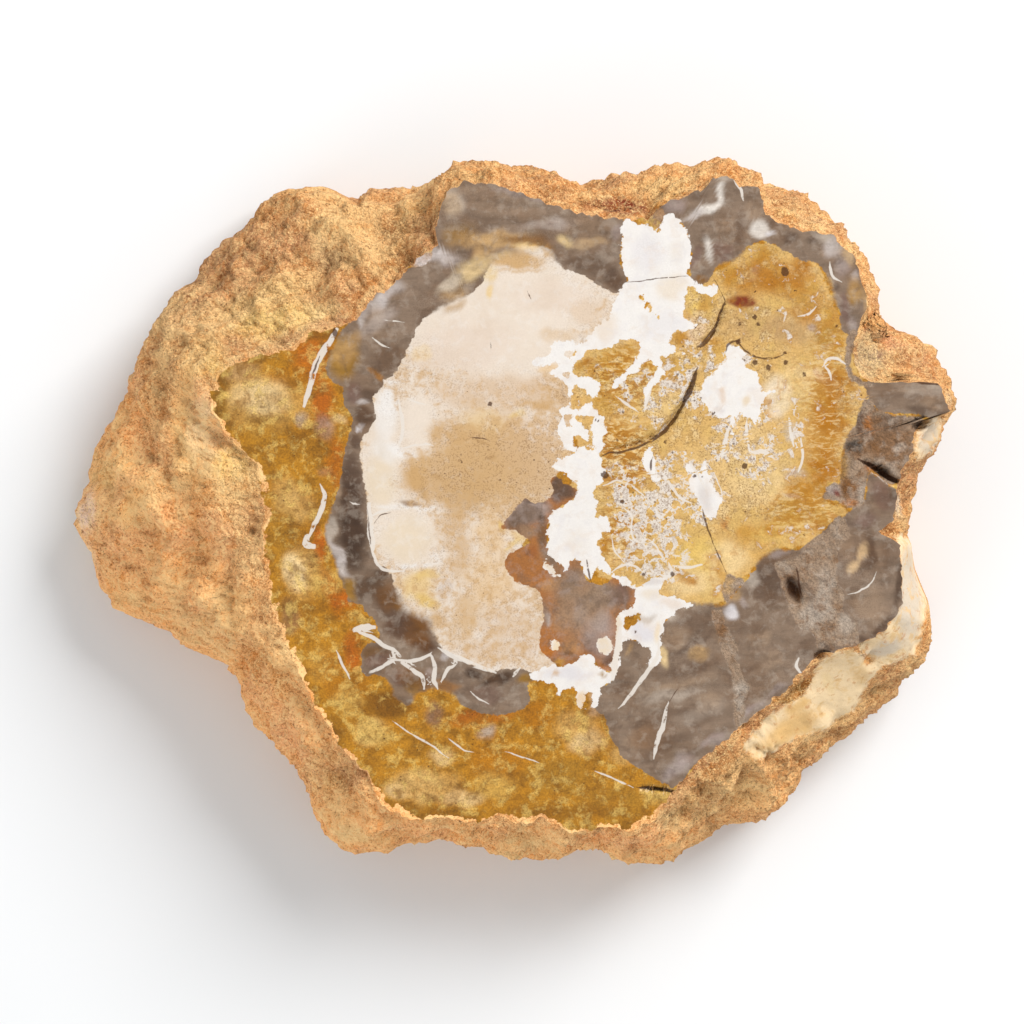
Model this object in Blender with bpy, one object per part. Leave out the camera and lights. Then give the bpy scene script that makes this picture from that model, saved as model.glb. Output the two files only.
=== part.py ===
"""A slice of petrified wood: sawn flat below, polished flat on top, with its rough rind left all round.

The stone is one solid. It is a loft about the heart of the log: the rim of the polished face, the flank that
falls from it to the girth, the rounded under-edge and the sawn base. One small nodule is joined to the loft,
and the fissures and pits are cut into it. Lengths and places are in millimetres, and MM makes them metres.
"""

import math

import bmesh
import bpy
import numpy as np
from mathutils import Matrix, Vector, noise

MM = 0.001

# Driving dimensions
THICKNESS = 34.0
GIRTH_HEIGHT = 9.0
GIRTH_SPREAD = 1.03
BASE_INSET = 4.5
HEART = (12.0, 2.0)
RIM_SLOPE = math.radians(35)

# Facets
SECTORS = 216
FLANK_RINGS = 12
UNDER_RINGS = 4

# Relief of the rind: (size, height) of each scale of lumps and sharp ridges, and ledges along the outline
LUMPS = ((19.0, 1.9), (4.4, 0.9))
RIDGES = ((11.0, 1.1), (6.5, 0.6))
LEDGE_STEP = 4.6
LEDGE_HEIGHT = 0.7
LEDGE_WANDER = 1.6
LEDGE_DRIFT_SIZE = 30.0
RIM_FADE = 3.0
GIRTH_CALM = 0.35
BASE_BLUR = math.radians(7)
FACE_CLEARANCE = 0.25
NOISE_PLACE = Vector((3.7, 8.1, 5.3))

STONE_COLOUR = (0.45, 0.27, 0.13, 1.0)
STONE_ROUGHNESS = 0.6

# Rim of the polished face, clockwise from its top left corner
RIM = (
    (-14.0, 61.5), (-13.2, 63.8), (-9.5, 66.0), (-3.0, 65.3), (2.0, 63.8), (7.0, 61.5), (14.0, 59.8),
    (20.0, 58.6), (27.0, 58.3), (30.0, 61.3), (35.0, 63.2), (38.5, 64.5), (40.0, 67.0), (43.5, 67.2),
    (46.0, 65.3), (49.5, 64.6), (50.5, 60.0), (53.0, 57.8), (58.0, 56.2), (64.5, 55.3), (68.5, 50.5),
    (70.5, 45.0), (71.0, 41.0), (69.0, 36.0), (68.0, 32.0), (69.5, 27.5), (72.0, 25.8), (85.3, 25.8),
    (87.3, 22.5), (87.3, 20.0), (83.0, 18.8), (80.5, 16.0), (80.0, 12.0), (77.5, 7.5), (76.8, 2.5),
    (76.3, -2.0), (73.2, -4.2), (77.6, -6.3), (78.2, -12.0), (77.4, -20.3), (74.5, -23.8), (70.0, -26.3),
    (61.5, -28.5), (58.5, -31.0), (55.0, -35.5), (50.5, -38.8), (46.0, -42.5), (42.0, -46.3), (37.0, -49.8),
    (34.0, -54.0), (31.3, -57.0), (29.0, -61.0), (24.0, -63.8), (18.0, -62.8), (12.0, -64.0), (6.0, -61.0),
    (1.0, -62.5), (-3.0, -60.5), (-7.0, -62.0), (-12.0, -61.0), (-20.0, -61.5), (-25.5, -59.0),
    (-29.8, -55.0), (-31.0, -49.6), (-37.5, -48.8), (-40.5, -45.0), (-34.8, -38.5), (-39.0, -36.0),
    (-43.0, -29.0), (-47.5, -21.0), (-49.2, -10.0), (-49.5, 2.0), (-51.0, 9.5), (-57.0, 15.5),
    (-60.5, 21.5), (-59.0, 27.5), (-53.5, 30.5), (-48.5, 32.0), (-44.5, 32.5), (-41.0, 36.2),
    (-35.0, 36.8), (-31.0, 38.5), (-27.5, 43.0), (-22.5, 46.3), (-19.8, 49.5), (-15.0, 53.5), (-15.3, 57.5),
)

# Widest outline of the stone, clockwise from the top, before it is spread to its height below the face
GIRTH = (
    (-11.4, 69.8), (-7.4, 70.0), (1.6, 69.2), (8.6, 68.2), (14.6, 65.8), (20.6, 66.8), (26.6, 68.0),
    (35.6, 68.4), (40.8, 70.0), (45.6, 67.8), (51.6, 65.2), (57.6, 64.0), (60.6, 61.4), (64.2, 56.4),
    (67.6, 52.4), (70.6, 47.4), (73.0, 42.0), (73.6, 39.0), (75.0, 36.6), (79.0, 35.4), (82.4, 33.0),
    (85.4, 28.6), (86.4, 25.6), (87.6, 22.4), (87.4, 18.4), (85.6, 14.4), (82.6, 10.8), (80.0, 7.4),
    (79.2, 3.8), (78.0, 0.6), (80.2, -5.4), (82.0, -11.6), (84.2, -17.6), (84.2, -22.6), (82.6, -29.6),
    (78.6, -33.6), (74.6, -38.6), (69.6, -43.6), (63.6, -47.6), (58.6, -52.0), (53.6, -58.6), (49.6, -61.0),
    (43.6, -62.8), (40.6, -64.0), (37.6, -67.2), (32.6, -69.8), (20.0, -69.6), (17.6, -68.0), (9.6, -69.2),
    (1.6, -69.9), (-3.4, -68.0), (-7.4, -65.6), (-14.4, -64.8), (-20.4, -64.8), (-24.4, -67.2),
    (-32.4, -67.6), (-36.4, -65.0), (-39.4, -60.6), (-42.4, -54.0), (-43.4, -51.2), (-46.4, -49.0),
    (-49.4, -43.6), (-53.4, -38.6), (-56.8, -30.6), (-61.4, -28.8), (-67.4, -25.4), (-72.4, -22.4),
    (-80.4, -18.8), (-83.0, -15.4), (-84.6, -9.6), (-87.4, -2.6), (-86.8, 2.0), (-85.2, 6.0), (-83.8, 13.4),
    (-80.4, 18.6), (-76.4, 24.2), (-74.4, 31.4), (-72.0, 38.6), (-69.4, 42.4), (-67.4, 44.6), (-63.8, 46.6),
    (-61.4, 50.4), (-58.0, 54.0), (-53.4, 58.0), (-47.4, 62.6), (-43.4, 64.4), (-35.4, 64.4), (-32.4, 63.2),
    (-28.4, 65.2), (-20.4, 65.0), (-15.4, 66.4), (-13.4, 68.0),
)

# Swells and hollows that can be named one by one: (x, y, radius, height), a hollow below zero
SWELLS = (
    (-48.0, 60.0, 8.0, 1.8), (-40.0, 51.5, 5.5, -2.2), (-22.5, 57.0, 6.0, -2.0), (-62.0, 33.0, 9.0, 1.5),
    (-75.0, 8.0, 10.0, 1.6), (-66.0, -10.0, 9.0, -1.2), (-52.0, -33.0, 7.0, 1.4), (-36.0, -54.0, 6.0, -1.5),
    (42.0, -50.0, 4.5, 2.0), (37.0, -61.0, 5.0, -1.3), (62.0, -38.0, 9.0, -1.8), (82.0, -14.0, 6.0, -1.8),
    (78.0, 30.0, 7.0, 2.2), (56.0, 60.0, 5.0, 1.2), (21.0, 62.0, 4.0, -1.2),
)

# Walls that broke smooth, so that lumps and ledges fade out there: (x, y, radius)
SMOOTH_WALLS = (
    (82.0, -9.0, 6.0), (82.0, -17.0, 7.0), (78.0, -26.0, 5.0), (66.0, -35.0, 8.0), (57.0, -42.0, 6.0),
)

# The small round nodule between the face and the right hand lobe: (x, y, radius, height of its top)
NODULE = (72.6, 37.2, 2.9, 33.4)

# Fissures that open into the polished face: (name, points of the path, greatest width, depth)
HEART_FISSURE_PATH = (
    (37.0, 28.3), (35.6, 25.0), (34.0, 21.8), (31.8, 18.2), (28.6, 15.2), (24.0, 13.4), (19.4, 12.4),
)
FISSURES = (
    ("fissure_heart", HEART_FISSURE_PATH, 1.3, 2.2),
    ("fissure_upper", ((42.6, 42.4), (41.4, 38.6), (39.8, 35.6), (37.0, 33.4)), 0.9, 1.4),
    ("fissure_lower", ((25.4, -55.1), (29.0, -55.4), (33.6, -56.2)), 0.9, 1.8),
    ("fissure_right", ((69.6, 10.4), (73.0, 8.6), (76.0, 6.6), (79.8, 5.0)), 1.5, 2.6),
)

# Pits and pockets: (name, x, y, height of its centre, length, width, depth, turn in degrees)
PITS = (
    ("pit_druse", 56.3, -15.8, 34.0, 5.6, 3.2, 2.6, 105.0),
    ("pit_lobe", 77.0, 26.9, 33.6, 2.8, 2.0, 2.4, 0.0),
    ("pit_white_wall", 82.0, 17.6, 33.6, 3.8, 3.0, 3.6, 20.0),
    ("pit_corner", 61.6, -28.7, 33.6, 3.0, 2.0, 2.2, 30.0),
    ("pocket_amber", 22.0, 61.4, 32.4, 13.0, 3.0, 2.6, -2.0),
    ("slot_amber", 57.4, -36.0, 32.6, 6.6, 2.4, 2.6, 42.0),
)


def clear_scene():
    """Removes whatever the scene holds."""
    for item in list(bpy.data.objects):
        bpy.data.objects.remove(item)


def new_collection(name):
    """Adds a collection under the scene's own and returns it."""
    collection = bpy.data.collections.new(name)
    bpy.context.scene.collection.children.link(collection)
    return collection


def stone_material():
    """The plain finish of the stone."""
    material = bpy.data.materials.new("petrified_wood")
    material.use_nodes = True
    shader = material.node_tree.nodes["Principled BSDF"]
    shader.inputs["Base Color"].default_value = STONE_COLOUR
    shader.inputs["Roughness"].default_value = STONE_ROUGHNESS
    shader.inputs["Metallic"].default_value = 0.0
    return material


def outline_reach(outline, spread=1.0):
    """Angles and distances from the heart to an outline's points, sorted and wrapped at both ends."""
    points = np.array(outline) * spread - np.array(HEART)
    angles = np.arctan2(points[:, 1], points[:, 0])
    order = np.argsort(angles)
    angles, reach = angles[order], np.hypot(points[:, 0], points[:, 1])[order]
    turn = 2 * math.pi
    return np.concatenate((angles - turn, angles, angles + turn)), np.tile(reach, 3)


def swell_at(x, y):
    """Height of the named swells and hollows at a place, seen from above."""
    total = 0.0
    for cx, cy, radius, height in SWELLS:
        total += height * math.exp(-((x - cx) ** 2 + (y - cy) ** 2) / (radius * radius))
    return total


def roughness_at(x, y):
    """Share of the rind's relief at a place: 1 on rough rind, near 0 on a smooth wall."""
    share = 1.0
    for cx, cy, radius in SMOOTH_WALLS:
        share *= 1.0 - 0.9 * math.exp(-(((x - cx) ** 2 + (y - cy) ** 2) / (radius * radius)) ** 2)
    return share


def relief_at(x, y, z):
    """How far the rind stands out from its plain loft at a place."""
    place = Vector((x, y, z))
    rough = 0.0
    for size, height in LUMPS:
        rough += height * noise.noise(place / size + NOISE_PLACE)
    for size, height in RIDGES:
        rough += height * (1.0 - 4.0 * abs(noise.noise(place / size - NOISE_PLACE)))
    drift = noise.noise(Vector((x, y, 0.0)) / LEDGE_DRIFT_SIZE + NOISE_PLACE)
    phase = z / LEDGE_STEP + LEDGE_WANDER * drift
    rough += LEDGE_HEIGHT * (4.0 * abs(phase % 1.0 - 0.5) - 1.0)
    return rough * roughness_at(x, y) + swell_at(x, y)


def flank_profile():
    """The flank from the rim to the girth: (share of the width, share of the drop, outward direction)."""
    rings = []
    for step in range(FLANK_RINGS):
        lean = RIM_SLOPE + (math.pi / 2 - RIM_SLOPE) * step / (FLANK_RINGS - 1)
        out = (math.sin(lean) - math.sin(RIM_SLOPE)) / (1 - math.sin(RIM_SLOPE))
        down = 1 - math.cos(lean) / math.cos(RIM_SLOPE)
        rings.append((out, down, lean))
    return rings


def section(angle, rim, girth, base):
    """The stone's edge in one direction from the heart, as points from the rim down to the base."""
    ahead = (math.cos(angle), math.sin(angle))
    width, drop = girth - rim, THICKNESS - GIRTH_HEIGHT
    points = [(HEART[0] + rim * ahead[0], HEART[1] + rim * ahead[1], THICKNESS)]
    for out, down, lean in flank_profile()[1:]:
        reach, z = rim + out * width, THICKNESS - down * drop
        x, y = HEART[0] + reach * ahead[0], HEART[1] + reach * ahead[1]
        calm = 1.0 - (1.0 - GIRTH_CALM) * down ** 3
        fade = min(1.0, math.hypot(out * width, down * drop) / RIM_FADE)
        lift = relief_at(x, y, z) * calm * fade
        normal = Vector((math.sin(lean) * drop, math.cos(lean) * width)).normalized()
        reach += lift * normal[0]
        z = min(z + lift * normal[1], THICKNESS - FACE_CLEARANCE)
        points.append((HEART[0] + reach * ahead[0], HEART[1] + reach * ahead[1], z))
    edge = points[-1]
    edge_reach = math.hypot(edge[0] - HEART[0], edge[1] - HEART[1])
    for step in range(1, UNDER_RINGS + 1):
        lean = math.pi / 2 * step / UNDER_RINGS
        reach = edge_reach + (base - edge_reach) * (1 - math.cos(lean))
        z = edge[2] * (1 - math.sin(lean))
        x, y = HEART[0] + reach * ahead[0], HEART[1] + reach * ahead[1]
        reach += GIRTH_CALM * relief_at(x, y, z) * math.cos(lean)
        points.append((HEART[0] + reach * ahead[0], HEART[1] + reach * ahead[1], z))
    return points


def build_stone(collection, material):
    """Lofts the stone through its sections, with a flat face on top and a flat base."""
    rim_angles, rim_reach = outline_reach(RIM)
    girth_angles, girth_reach = outline_reach(GIRTH, GIRTH_SPREAD)
    mesh = bmesh.new()
    columns = []
    for sector in range(SECTORS):
        angle = 2 * math.pi * sector / SECTORS - math.pi
        rim = float(np.interp(angle, rim_angles, rim_reach))
        girth = max(float(np.interp(angle, girth_angles, girth_reach)), rim + 1.0)
        around = np.linspace(angle - BASE_BLUR, angle + BASE_BLUR, 9)
        base = float(np.interp(around, girth_angles, girth_reach).mean()) - BASE_INSET
        columns.append([mesh.verts.new(Vector(p) * MM) for p in section(angle, rim, girth, base)])
    rings = len(columns[0])
    for sector in range(SECTORS):
        here, following = columns[sector], columns[(sector + 1) % SECTORS]
        for ring in range(rings - 1):
            mesh.faces.new((here[ring], here[ring + 1], following[ring + 1], following[ring]))
    mesh.faces.new([column[0] for column in columns])
    mesh.faces.new([column[-1] for column in reversed(columns)])
    data = bpy.data.meshes.new("petrified_wood_slice")
    mesh.to_mesh(data)
    mesh.free()
    data.materials.append(material)
    stone = bpy.data.objects.new("petrified_wood_slice", data)
    collection.objects.link(stone)
    return stone


def move_to(collection, item):
    """Takes an object out of its collections and puts it in this one."""
    for owner in list(item.users_collection):
        owner.objects.unlink(item)
    collection.objects.link(item)


def make_guide(item, collection):
    """Marks an object as a shape that only cuts or joins, and files it with the others."""
    move_to(collection, item)
    item.hide_render = True
    item.display_type = "WIRE"


def add_ball(name, centre, radii, turn, collection):
    """A stretched ball, turned about the vertical, that cuts or joins the stone."""
    bpy.ops.mesh.primitive_uv_sphere_add(segments=14, ring_count=8, radius=1.0)
    ball = bpy.context.object
    ball.name = name
    shape = Matrix.Rotation(math.radians(turn), 4, "Z") @ Matrix.Diagonal((*radii, 1.0))
    ball.data.transform(Matrix.Translation(Vector(centre) * MM) @ Matrix.Scale(MM, 4) @ shape)
    make_guide(ball, collection)
    return ball


def add_blade(name, path, width, depth, collection):
    """A thin blade along a path in the polished face, widest at its middle, that opens a fissure."""
    curve = bpy.data.curves.new(name, "CURVE")
    curve.dimensions = "3D"
    curve.bevel_depth = width / 2 * MM
    curve.bevel_resolution = 1
    curve.use_fill_caps = True
    spline = curve.splines.new("POLY")
    spline.points.add(len(path) - 1)
    for index, (x, y) in enumerate(path):
        spline.points[index].co = (x * MM, y * MM, 0.0, 1.0)
        spline.points[index].radius = 0.25 + 0.75 * math.sin(math.pi * index / (len(path) - 1))
    holder = bpy.data.objects.new(name + "_path", curve)
    collection.objects.link(holder)
    bpy.context.view_layer.update()
    evaluated = holder.evaluated_get(bpy.context.evaluated_depsgraph_get())
    data = bpy.data.meshes.new_from_object(evaluated)
    bpy.data.objects.remove(holder)
    welded = bmesh.new()
    welded.from_mesh(data)
    bmesh.ops.remove_doubles(welded, verts=welded.verts, dist=0.01 * MM)
    bmesh.ops.recalc_face_normals(welded, faces=welded.faces)
    welded.to_mesh(data)
    welded.free()
    deepen = Matrix.Scale(2 * depth / width, 4, (0.0, 0.0, 1.0))
    data.transform(Matrix.Translation((0.0, 0.0, THICKNESS * MM)) @ deepen)
    blade = bpy.data.objects.new(name, data)
    make_guide(blade, collection)
    return blade


def apply_shape(stone, guide, operation):
    """Cuts the guide out of the stone, or joins it on."""
    modifier = stone.modifiers.new(guide.name, "BOOLEAN")
    modifier.operation = operation
    modifier.solver = "EXACT"
    modifier.object = guide


def main():
    """Builds the slice."""
    clear_scene()
    parts = new_collection("petrified_wood_slice")
    guides = new_collection("guides")
    stone = build_stone(parts, stone_material())
    x, y, radius, top = NODULE
    nodule = add_ball("nodule", (x, y, top - radius), (radius, radius, radius), 0.0, guides)
    apply_shape(stone, nodule, "UNION")
    for name, path, width, depth in FISSURES:
        apply_shape(stone, add_blade(name, path, width, depth, guides), "DIFFERENCE")
    for name, x, y, z, length, width, depth, turn in PITS:
        pit = add_ball(name, (x, y, z), (length / 2, width / 2, depth), turn, guides)
        apply_shape(stone, pit, "DIFFERENCE")


main()
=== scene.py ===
"""The looks of a slice of petrified wood: a polished face, a rough sandy rind and a dull sawn base.

The stone is one closed mesh. Its markings are drawn as outlines, soft touches of colour and
strokes, in millimetres from the middle of the slice. The finish turns them into ragged edges, clouds, flecks
and grain.
"""

import logging
import math
from dataclasses import dataclass, field
from enum import Enum

import bpy
import numpy as np
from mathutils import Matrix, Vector, noise


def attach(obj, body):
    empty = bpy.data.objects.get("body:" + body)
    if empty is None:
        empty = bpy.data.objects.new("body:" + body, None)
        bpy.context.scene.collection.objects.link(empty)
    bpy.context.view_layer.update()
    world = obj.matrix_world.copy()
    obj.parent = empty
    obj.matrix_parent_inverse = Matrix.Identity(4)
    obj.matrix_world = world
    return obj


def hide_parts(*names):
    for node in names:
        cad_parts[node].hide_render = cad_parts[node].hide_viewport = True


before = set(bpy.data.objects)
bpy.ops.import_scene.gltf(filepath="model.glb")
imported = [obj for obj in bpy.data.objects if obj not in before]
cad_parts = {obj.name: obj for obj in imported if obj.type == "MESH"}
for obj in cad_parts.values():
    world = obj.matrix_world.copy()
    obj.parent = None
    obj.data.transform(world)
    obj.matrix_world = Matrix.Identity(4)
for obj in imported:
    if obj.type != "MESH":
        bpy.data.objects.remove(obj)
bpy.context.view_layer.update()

LOG = logging.getLogger("petrified_wood")
MM = 0.001
Point = tuple[float, float]
Outline = tuple[Point, ...]
Socket = bpy.types.NodeSocket


def path(*numbers: float) -> Outline:
    """The points of a line or an outline, given as x, y, x, y and so on."""
    return tuple(zip(numbers[::2], numbers[1::2]))


def across_oval(places: np.ndarray, middle: Point, length: float, width: float, turn: float) -> np.ndarray:
    """Measures how far places lie from the middle of an oval.

    Args:
        places: Points in millimetres, one a row.
        middle: The middle of the oval.
        length: Half its length.
        width: Half its width.
        turn: Its turn in degrees.

    Returns:
        The distances, which are 1 on the oval itself.
    """
    angle, away = math.radians(turn), places - middle
    along = (away[:, 0] * math.cos(angle) + away[:, 1] * math.sin(angle)) / length
    across = (away[:, 1] * math.cos(angle) - away[:, 0] * math.sin(angle)) / width
    return np.hypot(along, across)


# Rim of the polished face, and the widest outline of the stone before it is scaled to its full width
RIM = path(
    -14, 61.5, -13.2, 63.8, -9.5, 66, -3, 65.3, 2, 63.8, 7, 61.5, 14, 59.8, 20, 58.6, 27, 58.3, 30, 61.3,
    35, 63.2, 38.5, 64.5, 40, 67, 43.5, 67.2, 46, 65.3, 49.5, 64.6, 50.5, 60, 53, 57.8, 58, 56.2, 64.5, 55.3,
    68.5, 50.5, 70.5, 45, 71, 41, 69, 36, 68, 32, 69.5, 27.5, 72, 25.8, 85.3, 25.8, 87.3, 22.5, 87.3, 20,
    83, 18.8, 80.5, 16, 80, 12, 77.5, 7.5, 76.8, 2.5, 76.3, -2, 73.2, -4.2, 77.6, -6.3, 78.2, -12,
    77.4, -20.3, 74.5, -23.8, 70, -26.3, 61.5, -28.5, 58.5, -31, 55, -35.5, 50.5, -38.8, 46, -42.5,
    42, -46.3, 37, -49.8, 34, -54, 31.3, -57, 29, -61, 24, -63.8, 18, -62.8, 12, -64, 6, -61, 1, -62.5,
    -3, -60.5, -7, -62, -12, -61, -20, -61.5, -25.5, -59, -29.2, -52.2, -32.8, -48.6, -36, -44.4,
    -38.4, -40.4, -41, -35.8, -43.6, -29, -47.5, -21, -49.2, -10, -49.5, 2, -51, 9.5, -57, 15.5, -60.5, 21.5,
    -59, 27.5, -53.5, 30.5, -48.5, 32, -44.5, 32.5, -41, 36.2, -35, 36.8, -31, 38.5, -27.5, 43, -22.5, 46.3,
    -19.8, 49.5, -15, 53.5, -15.3, 57.5,
)
GIRTH = path(
    -11.4, 69.8, -7.4, 70, 1.6, 69.2, 8.6, 68.2, 14.6, 65.8, 20.6, 66.8, 26.6, 68, 35.6, 68.4, 40.8, 70,
    45.6, 67.8, 51.6, 65.2, 57.6, 64, 60.6, 61.4, 64.2, 56.4, 67.6, 52.4, 70.6, 47.4, 73, 42, 73.6, 39,
    75, 36.6, 79, 35.4, 82.4, 33, 85.4, 28.6, 86.4, 25.6, 87.6, 22.4, 87.4, 18.4, 85.6, 14.4, 82.6, 10.8,
    80, 7.4, 79.2, 3.8, 78, 0.6, 80.2, -5.4, 82, -11.6, 84.2, -17.6, 84.2, -22.6, 82.6, -29.6, 78.6, -33.6,
    74.6, -38.6, 69.6, -43.6, 63.6, -47.6, 58.6, -52, 53.6, -58.6, 49.6, -61, 43.6, -62.8, 40.6, -64,
    37.6, -67.2, 32.6, -69.8, 20, -69.6, 17.6, -68, 9.6, -69.2, 1.6, -69.9, -3.4, -68, -7.4, -65.6,
    -14.4, -64.8, -20.4, -64.8, -24.4, -67.2, -32.4, -67.6, -36.4, -65, -39.4, -60.6, -42.4, -54,
    -43.4, -51.2, -46.4, -49, -49.4, -43.6, -53.4, -38.6, -56.8, -30.6, -61.4, -28.8, -67.4, -25.4,
    -72.4, -22.4, -80.4, -18.8, -83, -15.4, -84.6, -9.6, -87.4, -2.6, -86.8, 2, -85.2, 6, -83.8, 13.4,
    -80.4, 18.6, -76.4, 24.2, -74.4, 31.4, -72, 38.6, -69.4, 42.4, -67.4, 44.6, -63.8, 46.6, -61.4, 50.4,
    -58, 54, -53.4, 58, -47.4, 62.6, -43.4, 64.4, -35.4, 64.4, -32.4, 63.2, -28.4, 65.2, -20.4, 65,
    -15.4, 66.4, -13.4, 68,
)

# Swells and hollows of the rind (x, y, radius, height) and walls that broke smooth (x, y, radius)
SWELLS = (
    (-48, 60, 8, 1.8), (-40, 51.5, 5.5, -2.2), (-22.5, 57, 6, -2), (-62, 33, 9, 1.5), (-75, 8, 10, 1.6),
    (-66, -10, 9, -1.2), (-52, -33, 7, 1.4), (-36, -54, 6, -1.5), (42, -50, 4.5, 2), (37, -61, 5, -1.3),
    (62, -38, 9, -1.8), (82, -14, 6, -1.8), (78, 30, 7, 2.2), (56, 60, 5, 1.2), (21, 62, 4, -1.2),
)
SMOOTH_WALLS = (
    (82, -9, 6), (82, -17, 7), (78, -26, 5), (66, -35, 8), (57, -42, 6),
)

# The small round nodule (x, y, radius, height of its top)
NODULE = (72.6, 37.2, 2.9, 33.4)

# Fissures in the face (path, greatest width, depth), and pits (x, y, height, length, width, depth, turn)
FISSURES = (
    (path(37, 28.3, 35.6, 25, 34, 21.8, 31.8, 18.2, 28.6, 15.2, 24, 13.4, 19.4, 12.4), 1.3, 2.2),
    (path(42.6, 42.4, 41.4, 38.6, 39.8, 35.6, 37, 33.4), 0.9, 1.4),
    (path(25.4, -55.1, 29, -55.4, 33.6, -56.2), 0.9, 1.8),
    (path(69.6, 10.4, 73, 8.6, 76, 6.6, 79.8, 5), 1.5, 2.6),
)
PITS = (
    (56.3, -15.8, 34, 5.6, 3.2, 2.6, 105), (77, 26.9, 33.6, 2.8, 2, 2.4, 0),
    (82, 17.6, 33.6, 3.8, 3, 3.6, 20), (61.6, -28.7, 33.6, 3, 2, 2.2, 30), (22, 61.4, 32.4, 13, 3, 2.6, -2),
    (57.4, -36, 32.6, 6.6, 2.4, 2.6, 42),
)


class Tone(Enum):
    """The stone's colours, as display values from 0 to 255."""

    MILK = (252, 245, 238)
    WHITE = (245, 234, 222)
    BLUE_WHITE = (236, 229, 229)
    CREAM = (246, 229, 211)
    WARM_CREAM = (243, 223, 197)
    PINK_CREAM = (239, 217, 198)
    TAN_CREAM = (232, 203, 173)
    PEACH = (243, 208, 164)
    SAND = (228, 192, 148)
    OCHRE_SAND = (218, 176, 124)
    DULL_SAND = (200, 162, 116)
    PALE_YELLOW = (249, 216, 160)
    STRAW = (242, 203, 118)
    GOLD = (230, 186, 118)
    DEEP_GOLD = (212, 158, 78)
    AMBER = (196, 138, 58)
    HONEY = (188, 124, 36)
    ORANGE = (194, 108, 22)
    RUST = (134, 64, 28)
    OLIVE = (172, 128, 62)
    DARK_OLIVE = (138, 96, 38)
    BROWN = (130, 88, 52)
    UMBER = (94, 66, 50)
    RED_BROWN = (180, 120, 74)
    TERRACOTTA = (196, 144, 98)
    PLUM = (134, 108, 97)
    LILAC = (182, 164, 156)
    PALE_LILAC = (214, 201, 194)
    PALE_GREY = (196, 180, 164)
    SMOKE = (168, 142, 119)
    STONE_GREY = (148, 126, 108)
    DUSK = (126, 104, 88)
    DARK_GREY = (104, 85, 73)
    DEEP_GREY = (82, 66, 57)
    BLACK_BROWN = (52, 38, 34)
    RIND = (214, 157, 104)
    RIND_LIGHT = (232, 188, 126)
    RIND_PALE = (242, 203, 144)
    RIND_PINK = (196, 142, 102)
    SALMON = (214, 148, 118)
    RIND_BROWN = (168, 116, 72)
    RIND_DARK = (118, 76, 44)
    CRUST = (196, 122, 62)
    SPALL = (252, 222, 178)
    SPALL_TAN = (238, 194, 132)
    WALL = (219, 202, 180)

    def light(self) -> tuple[float, float, float]:
        """The tone as the share of light that the stone gives back, without the shine of its polish."""
        return tuple(max(((v / 255 + 0.055) / 1.055) ** 2.4 - 0.03, 0.004) for v in self.value)


# How far a touch reaches and how wide its soft edge is, both as shares of its size
TOUCH_REACH = 1.2
TOUCH_FADE = 0.75


@dataclass(frozen=True)
class Touch:
    """A soft touch of colour or of some share, like one dab of a brush.

    Length and width are measured from its middle, in millimetres, and the turn is in degrees.
    """

    x: float
    y: float
    length: float
    width: float
    tone: Tone | float
    strength: float = 1.0
    turn: float = 0.0

    def cover(self, places: np.ndarray) -> np.ndarray:
        """How much of each place the touch covers.

        Args:
            places: Points in millimetres, one a row.

        Returns:
            Shares from 0 to the touch's strength.
        """
        near = across_oval(places, (self.x, self.y), self.length, self.width, self.turn)
        share = np.clip((TOUCH_REACH - near) / TOUCH_FADE, 0.0, 1.0)
        return self.strength * share * share * (3.0 - 2.0 * share)


def touches(*rows: tuple) -> tuple[Touch, ...]:
    """Reads touches from rows.

    Args:
        rows: x, y, length, width, a tone's name or a share, then the strength (left out where it is 1) and
            the turn in degrees (left out where it is 0).

    Returns:
        The touches, in the rows' order.
    """
    return tuple(
        Touch(*row[:4], Tone[row[4]] if isinstance(row[4], str) else row[4], *row[5:]) for row in rows
    )


# How far from a stroke nothing more is measured, how far its line wanders, and how many times a millimetre
STROKE_FAR = 4.0
STROKE_SWAY = 0.22
STROKE_PITCH = 0.8


@dataclass(frozen=True)
class Stroke:
    """A thin line on the face, widest at its middle: a vein, a crack or a hair."""

    path: Outline
    width: float
    tip: float = 0.3


@dataclass(frozen=True)
class Zone:
    """One kind of stone on the face: where it lies and how its colour drifts."""

    name: str
    ground: Tone
    outlines: tuple[Outline, ...]
    touches: tuple[Touch, ...] = ()
    holes: tuple[Outline, ...] = ()
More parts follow.
